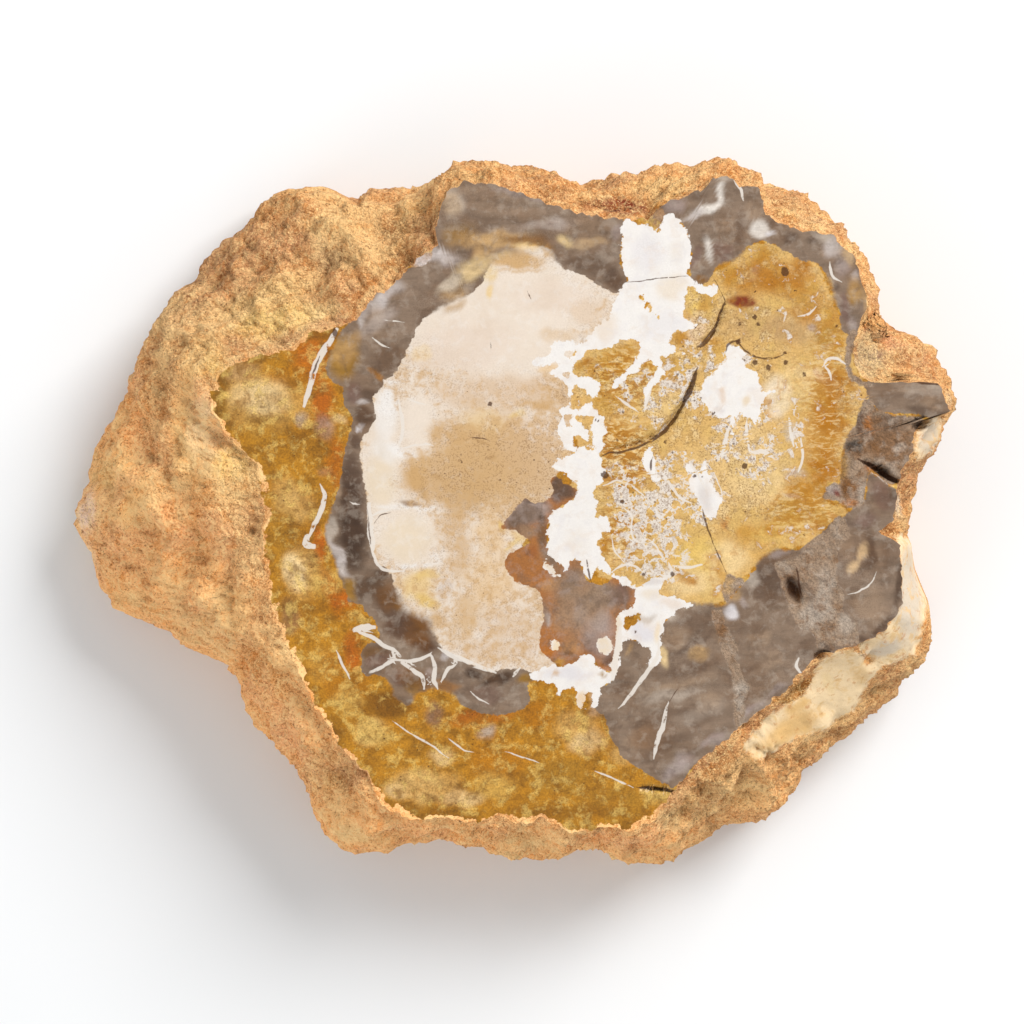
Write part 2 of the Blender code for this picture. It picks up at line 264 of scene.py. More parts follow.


# The jasper lies under everything else: ochre, amber and orange, with dirty olive and purplish blots, and
# painted shadow in dark olive lines along the rim
JASPER = Zone("jasper", Tone.AMBER, (), touches(
    (-17.6, 50.4, 3, 2.4, "PALE_LILAC", 1, 40), (-50, 23, 6, 4.4, "GOLD", 0.9), (30, 59.5, 5, 3, "SMOKE"),
    (-50, 22, 9, 6, "GOLD", 0.8), (-50, 20, 7, 6, "OLIVE", 0.5), (-58.5, 20, 2.2, 7, "OLIVE", 0.9),
    (-54, 28, 5, 2, "DULL_SAND", 0.7, 20), (-45, 31, 7, 4, "AMBER", 0.9), (-40, 31, 5, 5, "ORANGE", 0.8),
    (-38, 35.5, 5, 1.6, "BROWN", 0.7), (-44, 27, 6, 3, "HONEY", 0.7, 10), (-38, 22, 3, 6, "ORANGE", 0.9),
    (-35.5, 10, 2.2, 6, "ORANGE", 0.85), (-37.5, 17, 2.5, 3, "LILAC", 0.6),
    (-34.5, 18.5, 1.2, 1.4, "PALE_YELLOW", 0.6), (-42, 18.5, 1.4, 1.4, "PALE_GREY", 0.6),
    (-41, 14, 5, 4, "DARK_OLIVE", 0.45), (-45, 8, 5, 5, "AMBER", 0.8), (-43, 1, 5, 4, "GOLD", 0.7),
    (-46, -3, 3, 8, "OLIVE", 0.5), (-38.6, -6.5, 1.4, 5, "ORANGE", 0.95, 8),
    (-37.5, 8, 1.6, 1.4, "RIND_PINK", 0.7), (-42, -12, 4, 6, "GOLD", 0.8),
    (-44, -10.5, 2.4, 3, "PALE_YELLOW", 0.7), (-44.5, -21, 3, 4, "PLUM", 0.5),
    (-37, -14, 4, 3, "STRAW", 0.5), (-34, -19, 4.5, 3.4, "HONEY"), (-33.6, -17.4, 2.4, 2.4, "ORANGE", 0.9),
    (-38, -24, 5, 4, "AMBER", 0.8), (-31.8, -28, 2.2, 4.5, "ORANGE", 0.95),
    (-38, -31, 4, 4, "DEEP_GOLD", 0.8), (-33, -35, 5, 4, "HONEY", 0.75),
    (-37, -44.5, 4, 4, "DARK_OLIVE", 0.6), (-25, -38.5, 6, 3.2, "DARK_OLIVE", 0.9),
    (-15.5, -40.5, 2, 3, "PLUM", 0.75), (-8, -40.6, 3, 1.2, "UMBER", 0.6), (-28, -44, 4, 3, "GOLD", 0.9),
    (-5.2, -44, 2, 2, "PALE_GREY", 0.85), (-20, -47, 8, 4, "AMBER", 0.7, -20),
    (-14, -49, 3, 2, "PALE_YELLOW", 0.6), (-18, -55, 8, 4, "GOLD", 0.8),
    (-23, -56, 3, 2, "PALE_YELLOW", 0.6), (-10, -57.3, 5, 1.8, "PALE_YELLOW", 0.6),
    (-3, -50, 7, 5, "HONEY", 0.75), (5, -40.5, 4, 3.5, "HONEY", 0.9), (13, -43, 5, 4, "GOLD", 0.7),
    (10, -53, 8, 4, "OLIVE", 0.7), (1, -57, 6, 4, "AMBER", 0.7), (20, -51, 6, 4, "AMBER", 0.8),
    (20, -58, 8, 4, "OLIVE", 0.7), (-13, -61, 9, 1.6, "DARK_OLIVE", 0.6),
    (24, -63, 5, 1.6, "DARK_OLIVE", 0.6), (30, -57, 4, 2.5, "STRAW", 0.6), (17, -38, 2, 3, "PALE_GREY", 0.6),
    (-50, 23, 6, 4, "PALE_YELLOW", 0.7), (-43.4, -12, 2.6, 4.4, "PALE_YELLOW", 0.85),
    (15, -46, 4.4, 2.6, "PALE_YELLOW", 0.65, 10), (-28, -44, 4.4, 2.4, "STRAW", 0.7, -20),
    (-45.6, 4, 3, 4, "GOLD", 0.5), (-18, -55, 6, 3, "GOLD", 0.7), (-33, -38, 3.4, 3, "STRAW", 0.5),
    (-4, -55, 5, 3, "STRAW", 0.4), (22, -48, 3, 3, "GOLD", 0.6), (-36, -16, 1.8, 6, "ORANGE", 0.6, 20),
    (-25, -38.4, 6, 2, "DARK_OLIVE", 0.7, -25), (-36, -30, 2.6, 3, "HONEY", 0.7),
    (-6, -41, 8, 1.8, "ORANGE", 0.6, 5), (-38.6, 30, 3.6, 3, "ORANGE", 0.5),
    # painted shadow: dark olive lines along the rim of the face, where the rind meets the jasper
    (-58.4, 22, 1.4, 6, "DARK_OLIVE", 0.7), (-51, 31, 7, 1.2, "DARK_OLIVE", 0.6, 15),
    (-40.6, -37, 1.6, 5, "DARK_OLIVE", 0.5, 30), (10, -60, 14, 1.6, "DARK_OLIVE", 0.5),
    (-20, -59.6, 8, 1.4, "DARK_OLIVE", 0.45, -10),
))

GOLD = Zone("gold", Tone.GOLD, (
    path(8, 36, 20, 36.5, 33, 46, 36.6, 46.2, 40.2, 48, 44, 50, 48, 53.4, 51.5, 54, 55, 52.5, 58, 50.8,
        61.5, 49.4, 63, 46, 64.5, 42, 66, 37.5, 68, 35, 68.2, 31, 70.5, 26.2, 71.6, 24, 70, 19, 68.5, 15.5,
        66, 12, 65.8, 7, 63.5, 5.6, 62, 2.6, 66, 1, 67.3, -0.4, 64, -2, 60.5, -5.4, 57, -7.2, 53, -7.4,
        50, -9, 47.5, -12, 45, -14, 43, -17.5, 41, -18.4, 36, -18.4, 30, -19, 24, -15.5, 18, -13, 15, -8,
        8, 0, 14, 10, 10, 20, 9, 30),
), touches(
    (30, 22, 7, 6, "GOLD", 0.8), (20, 29, 7, 3, "DEEP_GOLD", 0.95, 10), (14, 29.6, 3, 0.9, "HONEY", 0.9, 25),
    (22, 32.5, 3.5, 1, "DEEP_GOLD", 0.9, 12), (19.5, 21.5, 3.5, 2.5, "DEEP_GOLD", 0.9, -15),
    (21.5, 15.5, 4, 2, "DEEP_GOLD", 0.8), (21, 11.5, 4, 2.2, "DEEP_GOLD", 0.75),
    (17.6, 26, 2, 0.9, "STRAW", 0.9), (27.5, 28, 2.2, 2.4, "DEEP_GOLD", 0.8), (32, 27, 3, 3, "AMBER", 0.6),
    (31.6, 30.2, 2.4, 1.4, "AMBER", 0.9), (33.6, 34.6, 2.2, 1.4, "AMBER", 0.8), (36, 42, 2, 3, "STRAW", 0.9),
    (38.5, 41.5, 2, 2.6, "AMBER", 0.75), (40.5, 33, 3.6, 2.2, "AMBER", 0.7),
    (37, 37, 2.6, 3, "TAN_CREAM", 0.8), (24, 4, 5, 3, "DEEP_GOLD", 0.6), (21.5, -3.5, 2.6, 3, "AMBER", 0.6),
    (18.4, -6.6, 1.4, 2.6, "AMBER", 0.85), (29, 14, 5, 4, "GOLD", 0.7), (33, -2, 4, 4, "GOLD", 0.6),
    (27, -11.5, 3, 2, "BROWN", 0.45), (38, -9, 6, 4, "STRAW", 0.9), (36, -14, 7, 3.4, "PALE_YELLOW", 0.8),
    (34.7, -13, 3, 1.1, "HONEY", 0.7, -25), (43, -9.5, 5, 4, "PALE_YELLOW", 0.8),
    (42.4, -13, 1.6, 4, "DEEP_GOLD", 0.7, 10), (48, 38, 8, 4, "DULL_SAND", 0.6),
    (56, 36.5, 6, 4, "DULL_SAND", 0.7), (57, 26, 4, 5, "PALE_YELLOW", 0.6),
    (53, 23.5, 2.6, 4.5, "PALE_YELLOW", 0.95), (47, 15, 6, 5, "PALE_YELLOW", 0.5),
    (50, 6, 6, 5, "PALE_YELLOW", 0.55), (45, 47.5, 5, 2.6, "AMBER", 0.8), (43, 47.6, 2, 2, "DEEP_GOLD", 0.8),
    (51, 48, 5, 4, "HONEY", 0.6), (50, 51.5, 3, 2.4, "AMBER", 0.8), (54, 50.6, 2, 1.6, "GOLD", 0.9),
    (58, 49, 2.2, 2.6, "HONEY", 0.9), (46.2, 42.4, 3, 1.7, "RUST", 0.95, -6),
    (55, 44.5, 6, 2.6, "HONEY", 0.7), (59, 40.5, 3.4, 3.4, "HONEY", 0.7),
    (60.6, 45, 1.8, 2, "STRAW", 0.9, 20), (63, 35, 3, 2.6, "DARK_OLIVE", 0.7),
    (62.8, 39.5, 1.6, 1.4, "STRAW", 0.9), (65.4, 33, 2, 3.2, "DEEP_GOLD", 0.9),
    (66, 26, 3.4, 2.6, "HONEY", 0.8), (63, 20, 4, 4, "AMBER", 0.85), (63, 13.4, 4, 2.6, "DEEP_GOLD", 0.6),
    (66.6, 14.4, 2.6, 0.9, "PALE_YELLOW", 0.9, 25), (62.6, 9, 3.4, 2.4, "HONEY", 0.9),
    (61.6, 5.4, 2.4, 1.4, "AMBER", 0.9), (57.6, 4.6, 3, 2.4, "AMBER", 0.8),
    (57, -0.2, 3, 2.2, "HONEY", 0.85), (61.4, -2, 2, 2, "HONEY", 0.8), (64.5, -0.6, 2, 0.8, "ORANGE", 0.7),
    (52, -3.6, 2.6, 1.4, "AMBER", 0.9, -20), (47, -4.6, 2.6, 1.6, "DEEP_GOLD", 0.8, -20),
    (42.8, -2.4, 0.9, 1.4, "CRUST", 0.8), (52, -8, 4, 1.8, "DEEP_GOLD", 0.5, 15),
    (56.5, 3, 2.6, 0.7, "PALE_LILAC", 0.8, -12), (56.6, 7.8, 2.4, 0.9, "PALE_LILAC", 0.8, 10),
    (56, 16, 1.2, 2.2, "PALE_LILAC", 0.8), (48.7, 47.8, 1.2, 1.4, "LILAC", 0.7),
    (62.8, 33.2, 1.6, 0.7, "PALE_GREY", 0.9, 10), (63.8, 26.4, 1.4, 1, "PALE_GREY", 0.9),
    (60, 36.4, 1.4, 1, "LILAC", 0.7), (61.5, 27.6, 1.4, 1.6, "TAN_CREAM", 0.8),
    (65, 22, 4, 9, "HONEY", 0.75), (63, 8, 4, 6, "HONEY", 0.8, -20), (57, 1, 7, 3.4, "AMBER", 0.8, 15),
    (50, -4, 7, 2.4, "HONEY", 0.55, 15), (57, 46, 7, 4, "HONEY", 0.6, -30), (64, 37, 3, 6, "AMBER", 0.7),
    (48, 46, 6, 3, "HONEY", 0.6), (46.2, 42.2, 3, 1.5, "RUST", 1, -6),
    (53, 24, 2.4, 4.5, "PALE_YELLOW", 0.8), (50, 8, 7, 7, "PALE_YELLOW", 0.35), (19, 12, 3, 8, "HONEY", 0.4),
    (19, 24, 2, 3, "HONEY", 0.4), (30, 22, 5, 3.6, "PALE_YELLOW", 0.55), (53, 23, 3, 5, "WARM_CREAM", 0.75),
    (40, 6, 9, 9, "PALE_YELLOW", 0.35), (62.5, 22, 2.6, 9, "HONEY", 0.6), (52, -4, 7, 2.4, "STRAW", 0.5, 15),
    (46.2, 42, 3, 1.4, "RUST", 1, -6), (52, 48, 6, 2.6, "HONEY", 0.5, -20),
    (60, 10, 3, 6, "HONEY", 0.4, -10),
))

# The cream core runs out under the grey, the white and the brown heart, which cover its edge
CREAM = Zone("cream", Tone.CREAM, (
    path(-14, 50.5, -8, 52, 0, 53, 7, 53, 9.5, 50.6, 14, 48.5, 20, 46, 24, 44, 24, 37, 16, 34, 12, 31,
        12, 20, 12, 12, 10, 9, 8.6, 6, 10, 2, 6, -4, 2, -6.4, 4, -12, 8, -16, 8, -24, 9, -30, 5, -32.2,
        0, -32, -6, -32.4, -12, -30.4, -16, -27.5, -19, -23.6, -22.4, -20.4, -26, -15.6, -29, -11, -30.6, -5,
        -31, 4, -32, 12, -31, 17, -30, 22, -29, 27, -24.6, 31, -22, 36, -18, 40.6, -13, 43.5),
), touches(
    (0, 40, 20, 8, "CREAM", 1, 15), (-10, 33, 12, 6, "PINK_CREAM", 0.6, 10),
    (8, 43, 9, 4, "PINK_CREAM", 0.5), (15, 40, 5, 3, "TAN_CREAM", 0.6), (9, 35.6, 4, 1.6, "SAND", 0.5),
    (17.5, 34.4, 4, 1.2, "PALE_GREY", 0.45, 10), (-4, 24, 14, 4.2, "TAN_CREAM", 0.9),
    (6, 24.5, 5, 4, "TAN_CREAM", 0.9), (5, 21.4, 5, 0.8, "OCHRE_SAND", 0.8), (-5, 10, 13, 12, "SAND", 0.95),
    (4, 12, 7, 8, "PINK_CREAM", 0.55), (-12, 16, 6, 3, "OCHRE_SAND", 0.5),
    (-6, 18, 5, 3, "PALE_YELLOW", 0.5), (-10, 4, 7, 5, "DULL_SAND", 0.55),
    (-11, -5, 3, 9, "OCHRE_SAND", 0.6, 8), (-4, -4, 4, 5, "PEACH", 0.8), (-4, -14, 6, 7, "PEACH", 0.8),
    (-1, -22, 6, 5, "TAN_CREAM", 0.7), (-9, -21, 3, 6, "SAND", 0.8), (-5, -28, 8, 2.4, "TAN_CREAM", 0.7, -8),
    (3, -27, 3, 3, "PINK_CREAM", 0.8), (-19, 7, 3.6, 4.4, "OCHRE_SAND"), (-18.5, 10.2, 3, 1.6, "SAND", 0.9),
    (-20, 1.9, 2.2, 0.7, "BROWN", 0.75), (-15, 7.5, 1.2, 0.6, "BROWN", 0.7, 10),
    (-17.4, 4, 0.8, 1.6, "DULL_SAND", 0.8), (-26, 6, 4, 6, "WARM_CREAM"), (-19, 19, 3.4, 5.4, "CREAM", 0.9),
    (-19.5, 13.8, 2.6, 1.4, "CREAM", 0.9), (-25, 20.5, 2.4, 7.5, "MILK", 0.9, -6),
    (-26, 12.5, 3.6, 2.6, "WHITE", 0.9, -30), (-22, 12, 4, 1.2, "MILK", 0.8, -20),
    (-21, 1, 6.5, 0.6, "MILK", 0.8), (-21, -5.4, 5.4, 5.4, "WARM_CREAM"),
    (-20, -11.2, 5, 0.7, "MILK", 0.85, 8), (-15.2, -9.6, 0.7, 1.6, "MILK", 0.7, 20),
    (-19, -15, 4, 3, "PALE_YELLOW", 1, -30), (-17, -18, 3, 1.6, "STRAW", 0.9, -20),
    (-17, -12.6, 3, 0.9, "STRAW", 0.7, 10), (-13.6, -15.5, 1.6, 2.4, "PALE_LILAC", 0.45),
    (-14.5, -21.5, 2.4, 2, "OCHRE_SAND", 0.8), (-18, 32, 2.2, 1.8, "PALE_YELLOW", 0.5),
    (-4.2, 44.4, 0.8, 1.4, "PALE_YELLOW", 0.9), (-11.5, 41, 3, 1.2, "DULL_SAND", 0.7, 30),
    (-7.5, 49.5, 5, 2, "PALE_GREY", 0.7, 20), (0, 50.4, 7, 1.6, "SAND", 0.9),
    (-4, 52, 6, 1.4, "OCHRE_SAND", 0.9), (-6, 14, 1.3, 0.35, "BROWN", 0.7, -20),
    (-4.2, 10.9, 1.3, 0.4, "BROWN", 0.8, -20), (1.6, 7.6, 1.8, 0.3, "DULL_SAND", 0.8, -15),
    (1, 19.4, 2, 0.9, "STRAW", 0.7, 10), (10, 11.6, 2.6, 0.9, "PEACH", 0.9, 10),
    (0.4, -6.4, 2.8, 0.7, "STRAW", 0.7, 35), (-2.4, -2.5, 0.8, 1.2, "STRAW", 0.8),
    (2, -5.2, 3, 0.9, "PALE_YELLOW", 0.8, -20), (7.5, 28.5, 2.6, 1, "PEACH", 0.8),
    (8.6, 26.5, 2.4, 0.7, "SAND", 0.7, -30), (1, 50.4, 7, 1.6, "OCHRE_SAND", 0.8),
    (2, 48.4, 6, 0.5, "OCHRE_SAND", 0.6, 3), (-5, 47.4, 2.6, 1.6, "STRAW", 0.5, 40),
))

# Grey chalcedony: the cap at the top, the arc down the left side, the two lower fields and the right edge
GREY = Zone("grey", Tone.STONE_GREY, (
    path(-16, 59, -15.5, 62, -14, 65, -9.5, 67, -3, 66.4, 2, 65, 7, 63, 14, 61, 20, 60, 22.6, 58, 21.9, 54,
        21.6, 50.5, 22.5, 48, 23, 46, 21, 43.6, 18, 45, 14, 47.4, 10.5, 48.6, 8.5, 50.6, 7, 52.8, 3, 52.6,
        0, 52, -3, 50.8, -5, 48.5, -6.4, 45.4, -9, 43.4, -12.5, 41.8, -15.5, 40, -18.8, 37.4, -20, 34.5,
        -21.4, 31.5, -22.5, 29.5, -24, 27.2, -25.6, 26.4, -26, 25, -28, 22.6, -27.4, 20, -27.6, 18,
        -29.4, 15.6, -30.4, 13.6, -30, 8, -29.2, 5, -28.8, 1, -28.6, -5, -27.6, -9.4, -25, -11.6, -24, -13.4,
        -22.4, -17, -20.6, -19.8, -17, -21.4, -15.6, -24, -14.2, -27, -11.4, -28.8, -8, -30.6, -4, -32,
        -1, -31.4, 2, -31.4, 4.6, -32.8, 3, -35, 3.4, -38, 0, -40.2, -5, -40.4, -9.5, -39, -12, -36.4,
        -15, -35.4, -18.4, -35.8, -20.5, -38.4, -23, -37.4, -24.4, -34.6, -26.4, -32.6, -29.6, -32.6,
        -30, -30, -29.6, -27, -26.6, -25.4, -27.2, -22.4, -29, -20, -30.2, -18.4, -32.4, -18, -33.6, -15,
        -34.8, -12, -35.8, -8.6, -37.4, -5, -37.2, -2.6, -36, 1, -34.6, 4.4, -34, 7, -33.8, 10.6, -33.4, 13,
        -32.5, 15.4, -32, 19, -33.4, 21.4, -34, 25, -36.4, 26.4, -37.2, 29, -36, 32.4, -34.6, 35.4,
        -33, 37.6, -30, 41, -28, 43.6, -25, 46, -20, 48.8, -16.4, 50.4),
    path(19.4, -44, 22, -48.6, 25, -51.2, 29, -53.6, 33, -55, 36.5, -50.6, 42, -46.8, 46.4, -43.2, 51, -39.8,
        55.6, -36.2, 59, -31.8, 62, -29, 70.5, -27, 75, -24.4, 78.4, -20.4, 79.4, -12, 78.6, -6, 73.6, -3.8,
        70.6, -1.6, 71, 1.6, 68.6, 1.2, 66.4, -0.8, 64, -2, 60.4, -5.6, 57, -7.6, 53, -7.6, 50, -9.2,
        48.6, -11.4, 46.8, -13.6, 44.4, -16.4, 42.6, -18.6, 40.4, -18.6, 37, -18.2, 33.5, -18.8, 31.4, -20.6,
        29.6, -22.4, 25, -25.6, 21.6, -25, 21, -28, 20.4, -31, 20, -33.6, 17, -35.6, 16, -38.4, 18.6, -41),
    path(29.6, 63, 35, 65, 38.5, 66, 40, 69, 43.5, 69, 46.6, 67, 50.6, 66, 52, 60.5, 54, 59.5, 59, 58,
        65.5, 57, 70, 52, 72, 46, 72.6, 41.4, 70.6, 37, 69, 35.4, 66.6, 35.6, 65.6, 37.4, 65.6, 40, 64.6, 42,
        64, 45, 62.6, 47.6, 60.6, 50, 57.6, 50.6, 55, 52.2, 52, 53.6, 49.4, 54, 47, 53, 45.4, 51, 42, 49.6,
        40.6, 48.6, 39.4, 46.2, 36.6, 45, 35.6, 47.4, 35.8, 51, 35.2, 54, 35, 56.4, 33.2, 58.4, 31.4, 59,
        30.2, 60.2),
    path(71.4, 26.6, 86.4, 26.6, 89, 22.5, 88.4, 19.6, 85, 18.6, 82.4, 19, 80.4, 19.6, 77, 19.6, 73.4, 20.4,
        71.6, 22.8),
    path(70.6, 2.4, 71.4, 7.4, 73, 7.2, 76, 5, 78, 3.4, 78, 1, 77.4, -2.6, 73.4, -4.4, 70.4, -1.4),
), touches(
    (0, 61, 12, 4, "STONE_GREY", 1, -8), (-11.4, 62.4, 2.6, 3.4, "PALE_GREY", 0.85, 20),
    (-8, 64.6, 4, 1, "SMOKE", 0.6, 5), (2, 63.4, 7, 1, "LILAC", 0.5, -14), (-6, 59.5, 5, 2.2, "DUSK", 0.5),
    (8, 57.5, 6, 1.2, "PALE_LILAC", 0.35), (-10, 55.4, 4, 2.6, "OLIVE", 0.6),
    (-2, 54.6, 8, 2.2, "DULL_SAND", 0.8), (2, 53.4, 5, 1.6, "OCHRE_SAND", 0.7),
    (-9, 51, 4, 2, "DUSK", 0.7, 20), (-15, 51.4, 2.4, 1.4, "PALE_LILAC", 0.9, 10),
    (10.8, 54.4, 1.8, 1.8, "PALE_YELLOW", 0.8), (15.6, 53.8, 4, 1.2, "SAND", 0.6),
    (16, 49.4, 5.5, 2, "DUSK", 0.95, -12), (20.4, 46.6, 2, 2.6, "DARK_GREY", 0.8, 30),
    (21, 56, 1.2, 2, "LILAC", 0.7), (-7, 47, 2, 3, "DUSK", 0.6), (-14, 44.8, 6, 2.6, "DUSK", 0.6, 30),
    (-19, 43, 6, 3, "STONE_GREY", 0.9, 35), (-11.5, 43.6, 3.5, 1.6, "DULL_SAND", 0.6, 25),
    (-17, 39.2, 3, 1, "DUSK", 0.6, 35), (-26.2, 42.2, 6, 1.5, "PALE_LILAC", 0.95, 38),
    (-13.6, 50.8, 3.2, 1.7, "PALE_LILAC", 0.9, -10), (-29.6, 39.5, 1.1, 3.4, "PALE_LILAC", 0.9, -20),
    (-27.8, 37.4, 2.6, 5, "SMOKE", 0.7), (-24, 36, 3, 6, "STONE_GREY", 0.8, -25),
    (-25, 30.6, 3.6, 4, "DUSK", 0.8, -20), (-27.4, 27.6, 2.2, 0.8, "HONEY", 0.75, -40),
    (-33.6, 31, 3.6, 5, "OLIVE", 0.95, -10), (-31.6, 34, 2, 3, "DULL_SAND", 0.5),
    (-31.5, 23.6, 2, 2.8, "PLUM", 0.9), (-28.4, 23.4, 2, 1.6, "DARK_GREY", 0.8, 20),
    (-29.6, 21.6, 1.5, 0.8, "PALE_LILAC", 0.85, 15), (-29.6, 19, 2.2, 2, "DARK_GREY", 0.9),
    (-30.4, 16.6, 1.4, 0.6, "BLUE_WHITE", 0.8, 40), (-31.2, 14, 1.8, 1.6, "DARK_GREY", 0.9),
    (-32, 6, 2.4, 7, "DARK_GREY", 0.95), (-34.4, 3, 0.8, 3.4, "SMOKE", 0.7, 12),
    (-32, -5, 3.4, 8, "DEEP_GREY", 0.95, 8), (-36.4, -3.5, 1.2, 3, "PALE_GREY", 0.9),
    (-34.6, -9.4, 1.2, 5, "PALE_LILAC", 0.95, 26), (-32.4, -15.4, 1.6, 2.4, "OLIVE", 0.9, 20),
    (-26.4, -12.6, 2, 1, "DEEP_GREY", 0.9), (-28.6, -15, 3, 3, "DEEP_GREY", 0.7),
    (-25, -18.5, 3.6, 3.4, "DARK_GREY", 0.85), (-22.4, -18, 1.6, 2.6, "DARK_OLIVE", 0.7, 20),
    (-22, -23, 4, 3, "UMBER", 0.75, -20), (-18, -22, 3, 2, "BROWN", 0.8, -30),
    (-18, -26.4, 3, 1.8, "UMBER", 0.85, -10), (-27.6, -28.4, 2.6, 1.8, "DARK_OLIVE", 0.6),
    (-27, -29.8, 2.6, 1.4, "PLUM", 0.9, 20), (-22.6, -33, 2.6, 2, "PLUM", 0.8),
    (-20.4, -32.6, 2, 1, "DARK_GREY", 0.9, -20), (-19.5, -35, 1.6, 1.8, "OLIVE", 0.6),
    (-16.6, -32.6, 1.2, 2, "LILAC", 0.8), (-13.4, -28.8, 1, 1.6, "BLUE_WHITE", 0.6, -20),
    (-12, -33, 3, 2.6, "STONE_GREY", 0.9), (-7.6, -32.6, 2.6, 1, "DEEP_GREY", 0.9, -25),
    (-3, -33.4, 4, 0.9, "DEEP_GREY", 0.9, 20), (-5, -36.5, 4, 2, "PLUM", 0.7),
    (0, -36.6, 3, 3, "STONE_GREY", 0.8), (2.6, -33.4, 1.6, 1.2, "OLIVE", 0.9),
    (-14, -34.8, 4, 1, "HONEY", 0.5), (24.4, -29, 2.6, 3, "STONE_GREY", 0.9),
    (23.4, -27.6, 0.8, 1.6, "DULL_SAND", 0.6, -20), (21.4, -34, 3, 3.6, "DUSK", 0.8, -20),
    (30.6, -29, 1.2, 2.2, "PALE_YELLOW", 0.85), (31.5, -20.8, 2.4, 1.6, "PALE_GREY", 0.9),
    (37, -22.5, 5, 3, "DUSK", 0.75), (33, -25, 3.4, 2.6, "SMOKE", 0.8, 20),
    (36, -26.6, 5, 0.8, "DARK_GREY", 0.6, 28), (37.4, -28.4, 2.4, 1.6, "DULL_SAND", 0.85, 25),
    (35, -31.6, 7, 1.2, "DUSK", 0.8, 12), (33, -34.8, 9, 1.2, "SMOKE", 0.9, 15),
    (31.5, -36.8, 7, 1.4, "PALE_GREY", 0.55, 10), (39, -38, 4, 1.6, "SMOKE", 0.8, 20),
    (30, -41, 8, 1.3, "DUSK", 0.75, 20), (38, -42, 5, 1.2, "DUSK", 0.6, 25),
    (26, -45.5, 5, 2, "SMOKE", 0.8, 20), (31, -46.6, 7, 1.2, "DUSK", 0.75, 25),
    (33, -51, 4, 2, "LILAC", 0.9, 40), (40.5, -45.6, 3.6, 1.2, "LILAC", 0.9, 25),
    (48, -39.4, 4, 1, "LILAC", 0.8, 35), (53.4, -35.4, 3, 0.8, "LILAC", 0.6, 38),
    (47, -22, 4, 3, "DUSK", 0.5, 30), (49.6, -25.4, 3, 1.8, "SMOKE", 0.9, 20),
    (52, -30, 4, 2, "SMOKE", 0.7, 30), (47, -31.4, 5, 0.9, "DUSK", 0.6, 25),
    (51, -34, 5, 1.4, "STONE_GREY", 0.8, 30), (58.6, -27, 3, 1.6, "DUSK", 0.6, 40),
    (51, -14, 4, 5, "DARK_GREY", 0.85, 20), (52.6, -10, 3, 1.2, "DUSK", 0.7, 10),
    (48.6, -13.4, 1.4, 2, "PALE_GREY", 0.8), (53.6, -8.4, 2.4, 0.8, "LILAC", 0.9, 10),
    (43.6, -20, 1.7, 1.5, "BLUE_WHITE", 0.95), (46.4, -18, 0.7, 1, "LILAC", 0.9),
    (44.6, -16.6, 2, 1.6, "DULL_SAND", 0.6), (70.6, -2, 3, 2, "PLUM", 0.8),
    (68.4, -5, 2.6, 2.6, "STONE_GREY", 0.9), (71.6, -8, 1.4, 5, "DARK_GREY", 0.85),
    (67, -7, 1.8, 3, "SMOKE", 0.6), (69.9, -8, 0.9, 2.4, "SAND", 1, -14), (68.2, -10.9, 1.8, 1.5, "SAND"),
    (72, -13, 4, 3, "STONE_GREY", 0.8, 30), (71.6, -18.6, 4, 4, "SMOKE", 0.75),
    (75.6, -9, 1.6, 4, "DUSK", 0.7), (77.4, -14, 0.9, 6, "DARK_GREY", 0.9, -5),
    (74, -23, 4, 1, "DARK_GREY", 0.9, 35), (69.4, -25.6, 2, 0.9, "DARK_GREY", 0.8, 15),
    (32.4, 61, 2, 1.8, "LILAC", 0.9), (36.8, 63, 2.6, 1, "DUSK", 0.9, 10),
    (39.6, 61, 3.4, 1.2, "WHITE", 0.95, 25), (42, 64, 1, 2.4, "WHITE", 0.95, -20),
    (36.4, 59.4, 3, 0.9, "PALE_LILAC", 0.8, 15), (41.6, 67, 2, 1.2, "PALE_GREY", 0.8),
    (44, 62.5, 2, 4, "STONE_GREY", 0.9), (47.6, 63.4, 2, 2, "STONE_GREY", 0.9),
    (48.4, 60.4, 2, 2.4, "SMOKE", 0.8), (38.4, 56.6, 2.4, 1.4, "STONE_GREY", 0.9),
    (43, 56.5, 2.6, 3, "SMOKE", 0.8), (42, 52, 3, 2.6, "PLUM", 0.8), (45.6, 56, 1.4, 5, "DUSK", 0.8),
    (36.6, 51, 1.2, 2.6, "PLUM", 0.8, -20), (38, 48.6, 1.6, 2.4, "STONE_GREY", 0.9, -20),
    (38, 46.4, 1.6, 1, "DARK_OLIVE", 0.8), (39, 52.6, 0.8, 3, "WHITE", 0.8, 10),
    (49.5, 56.6, 2, 1.8, "WHITE", 0.95), (51.5, 56, 1.4, 0.7, "BLUE_WHITE", 0.8),
    (52.4, 57.6, 1.6, 0.8, "DUSK", 0.8, -15), (55.4, 54.8, 1.8, 1.6, "DARK_GREY", 0.85),
    (57.6, 56.6, 2.4, 0.8, "SMOKE", 0.8, -10), (60, 54.4, 1.4, 1.2, "DARK_GREY", 0.8),
    (62.4, 52, 1.2, 0.9, "DARK_OLIVE", 0.6, -20), (58.6, 52.4, 2.4, 1, "STONE_GREY", 0.8, -20),
    (63.6, 54.6, 3, 1.6, "PALE_GREY", 0.9, -30), (67.4, 51.6, 2, 2.4, "SAND", 0.7, 25),
    (65.6, 49, 2, 2, "LILAC", 0.9), (68.6, 47.4, 1, 1.4, "PALE_LILAC", 0.8),
    (65, 45.6, 1, 1, "DARK_GREY", 0.7), (68.6, 44, 1.2, 3, "OLIVE", 0.8), (66.8, 41, 1.6, 4, "PLUM", 0.9),
    (70.6, 42, 0.9, 3, "DULL_SAND", 0.7), (68, 37.4, 1.4, 1.4, "LILAC", 0.8),
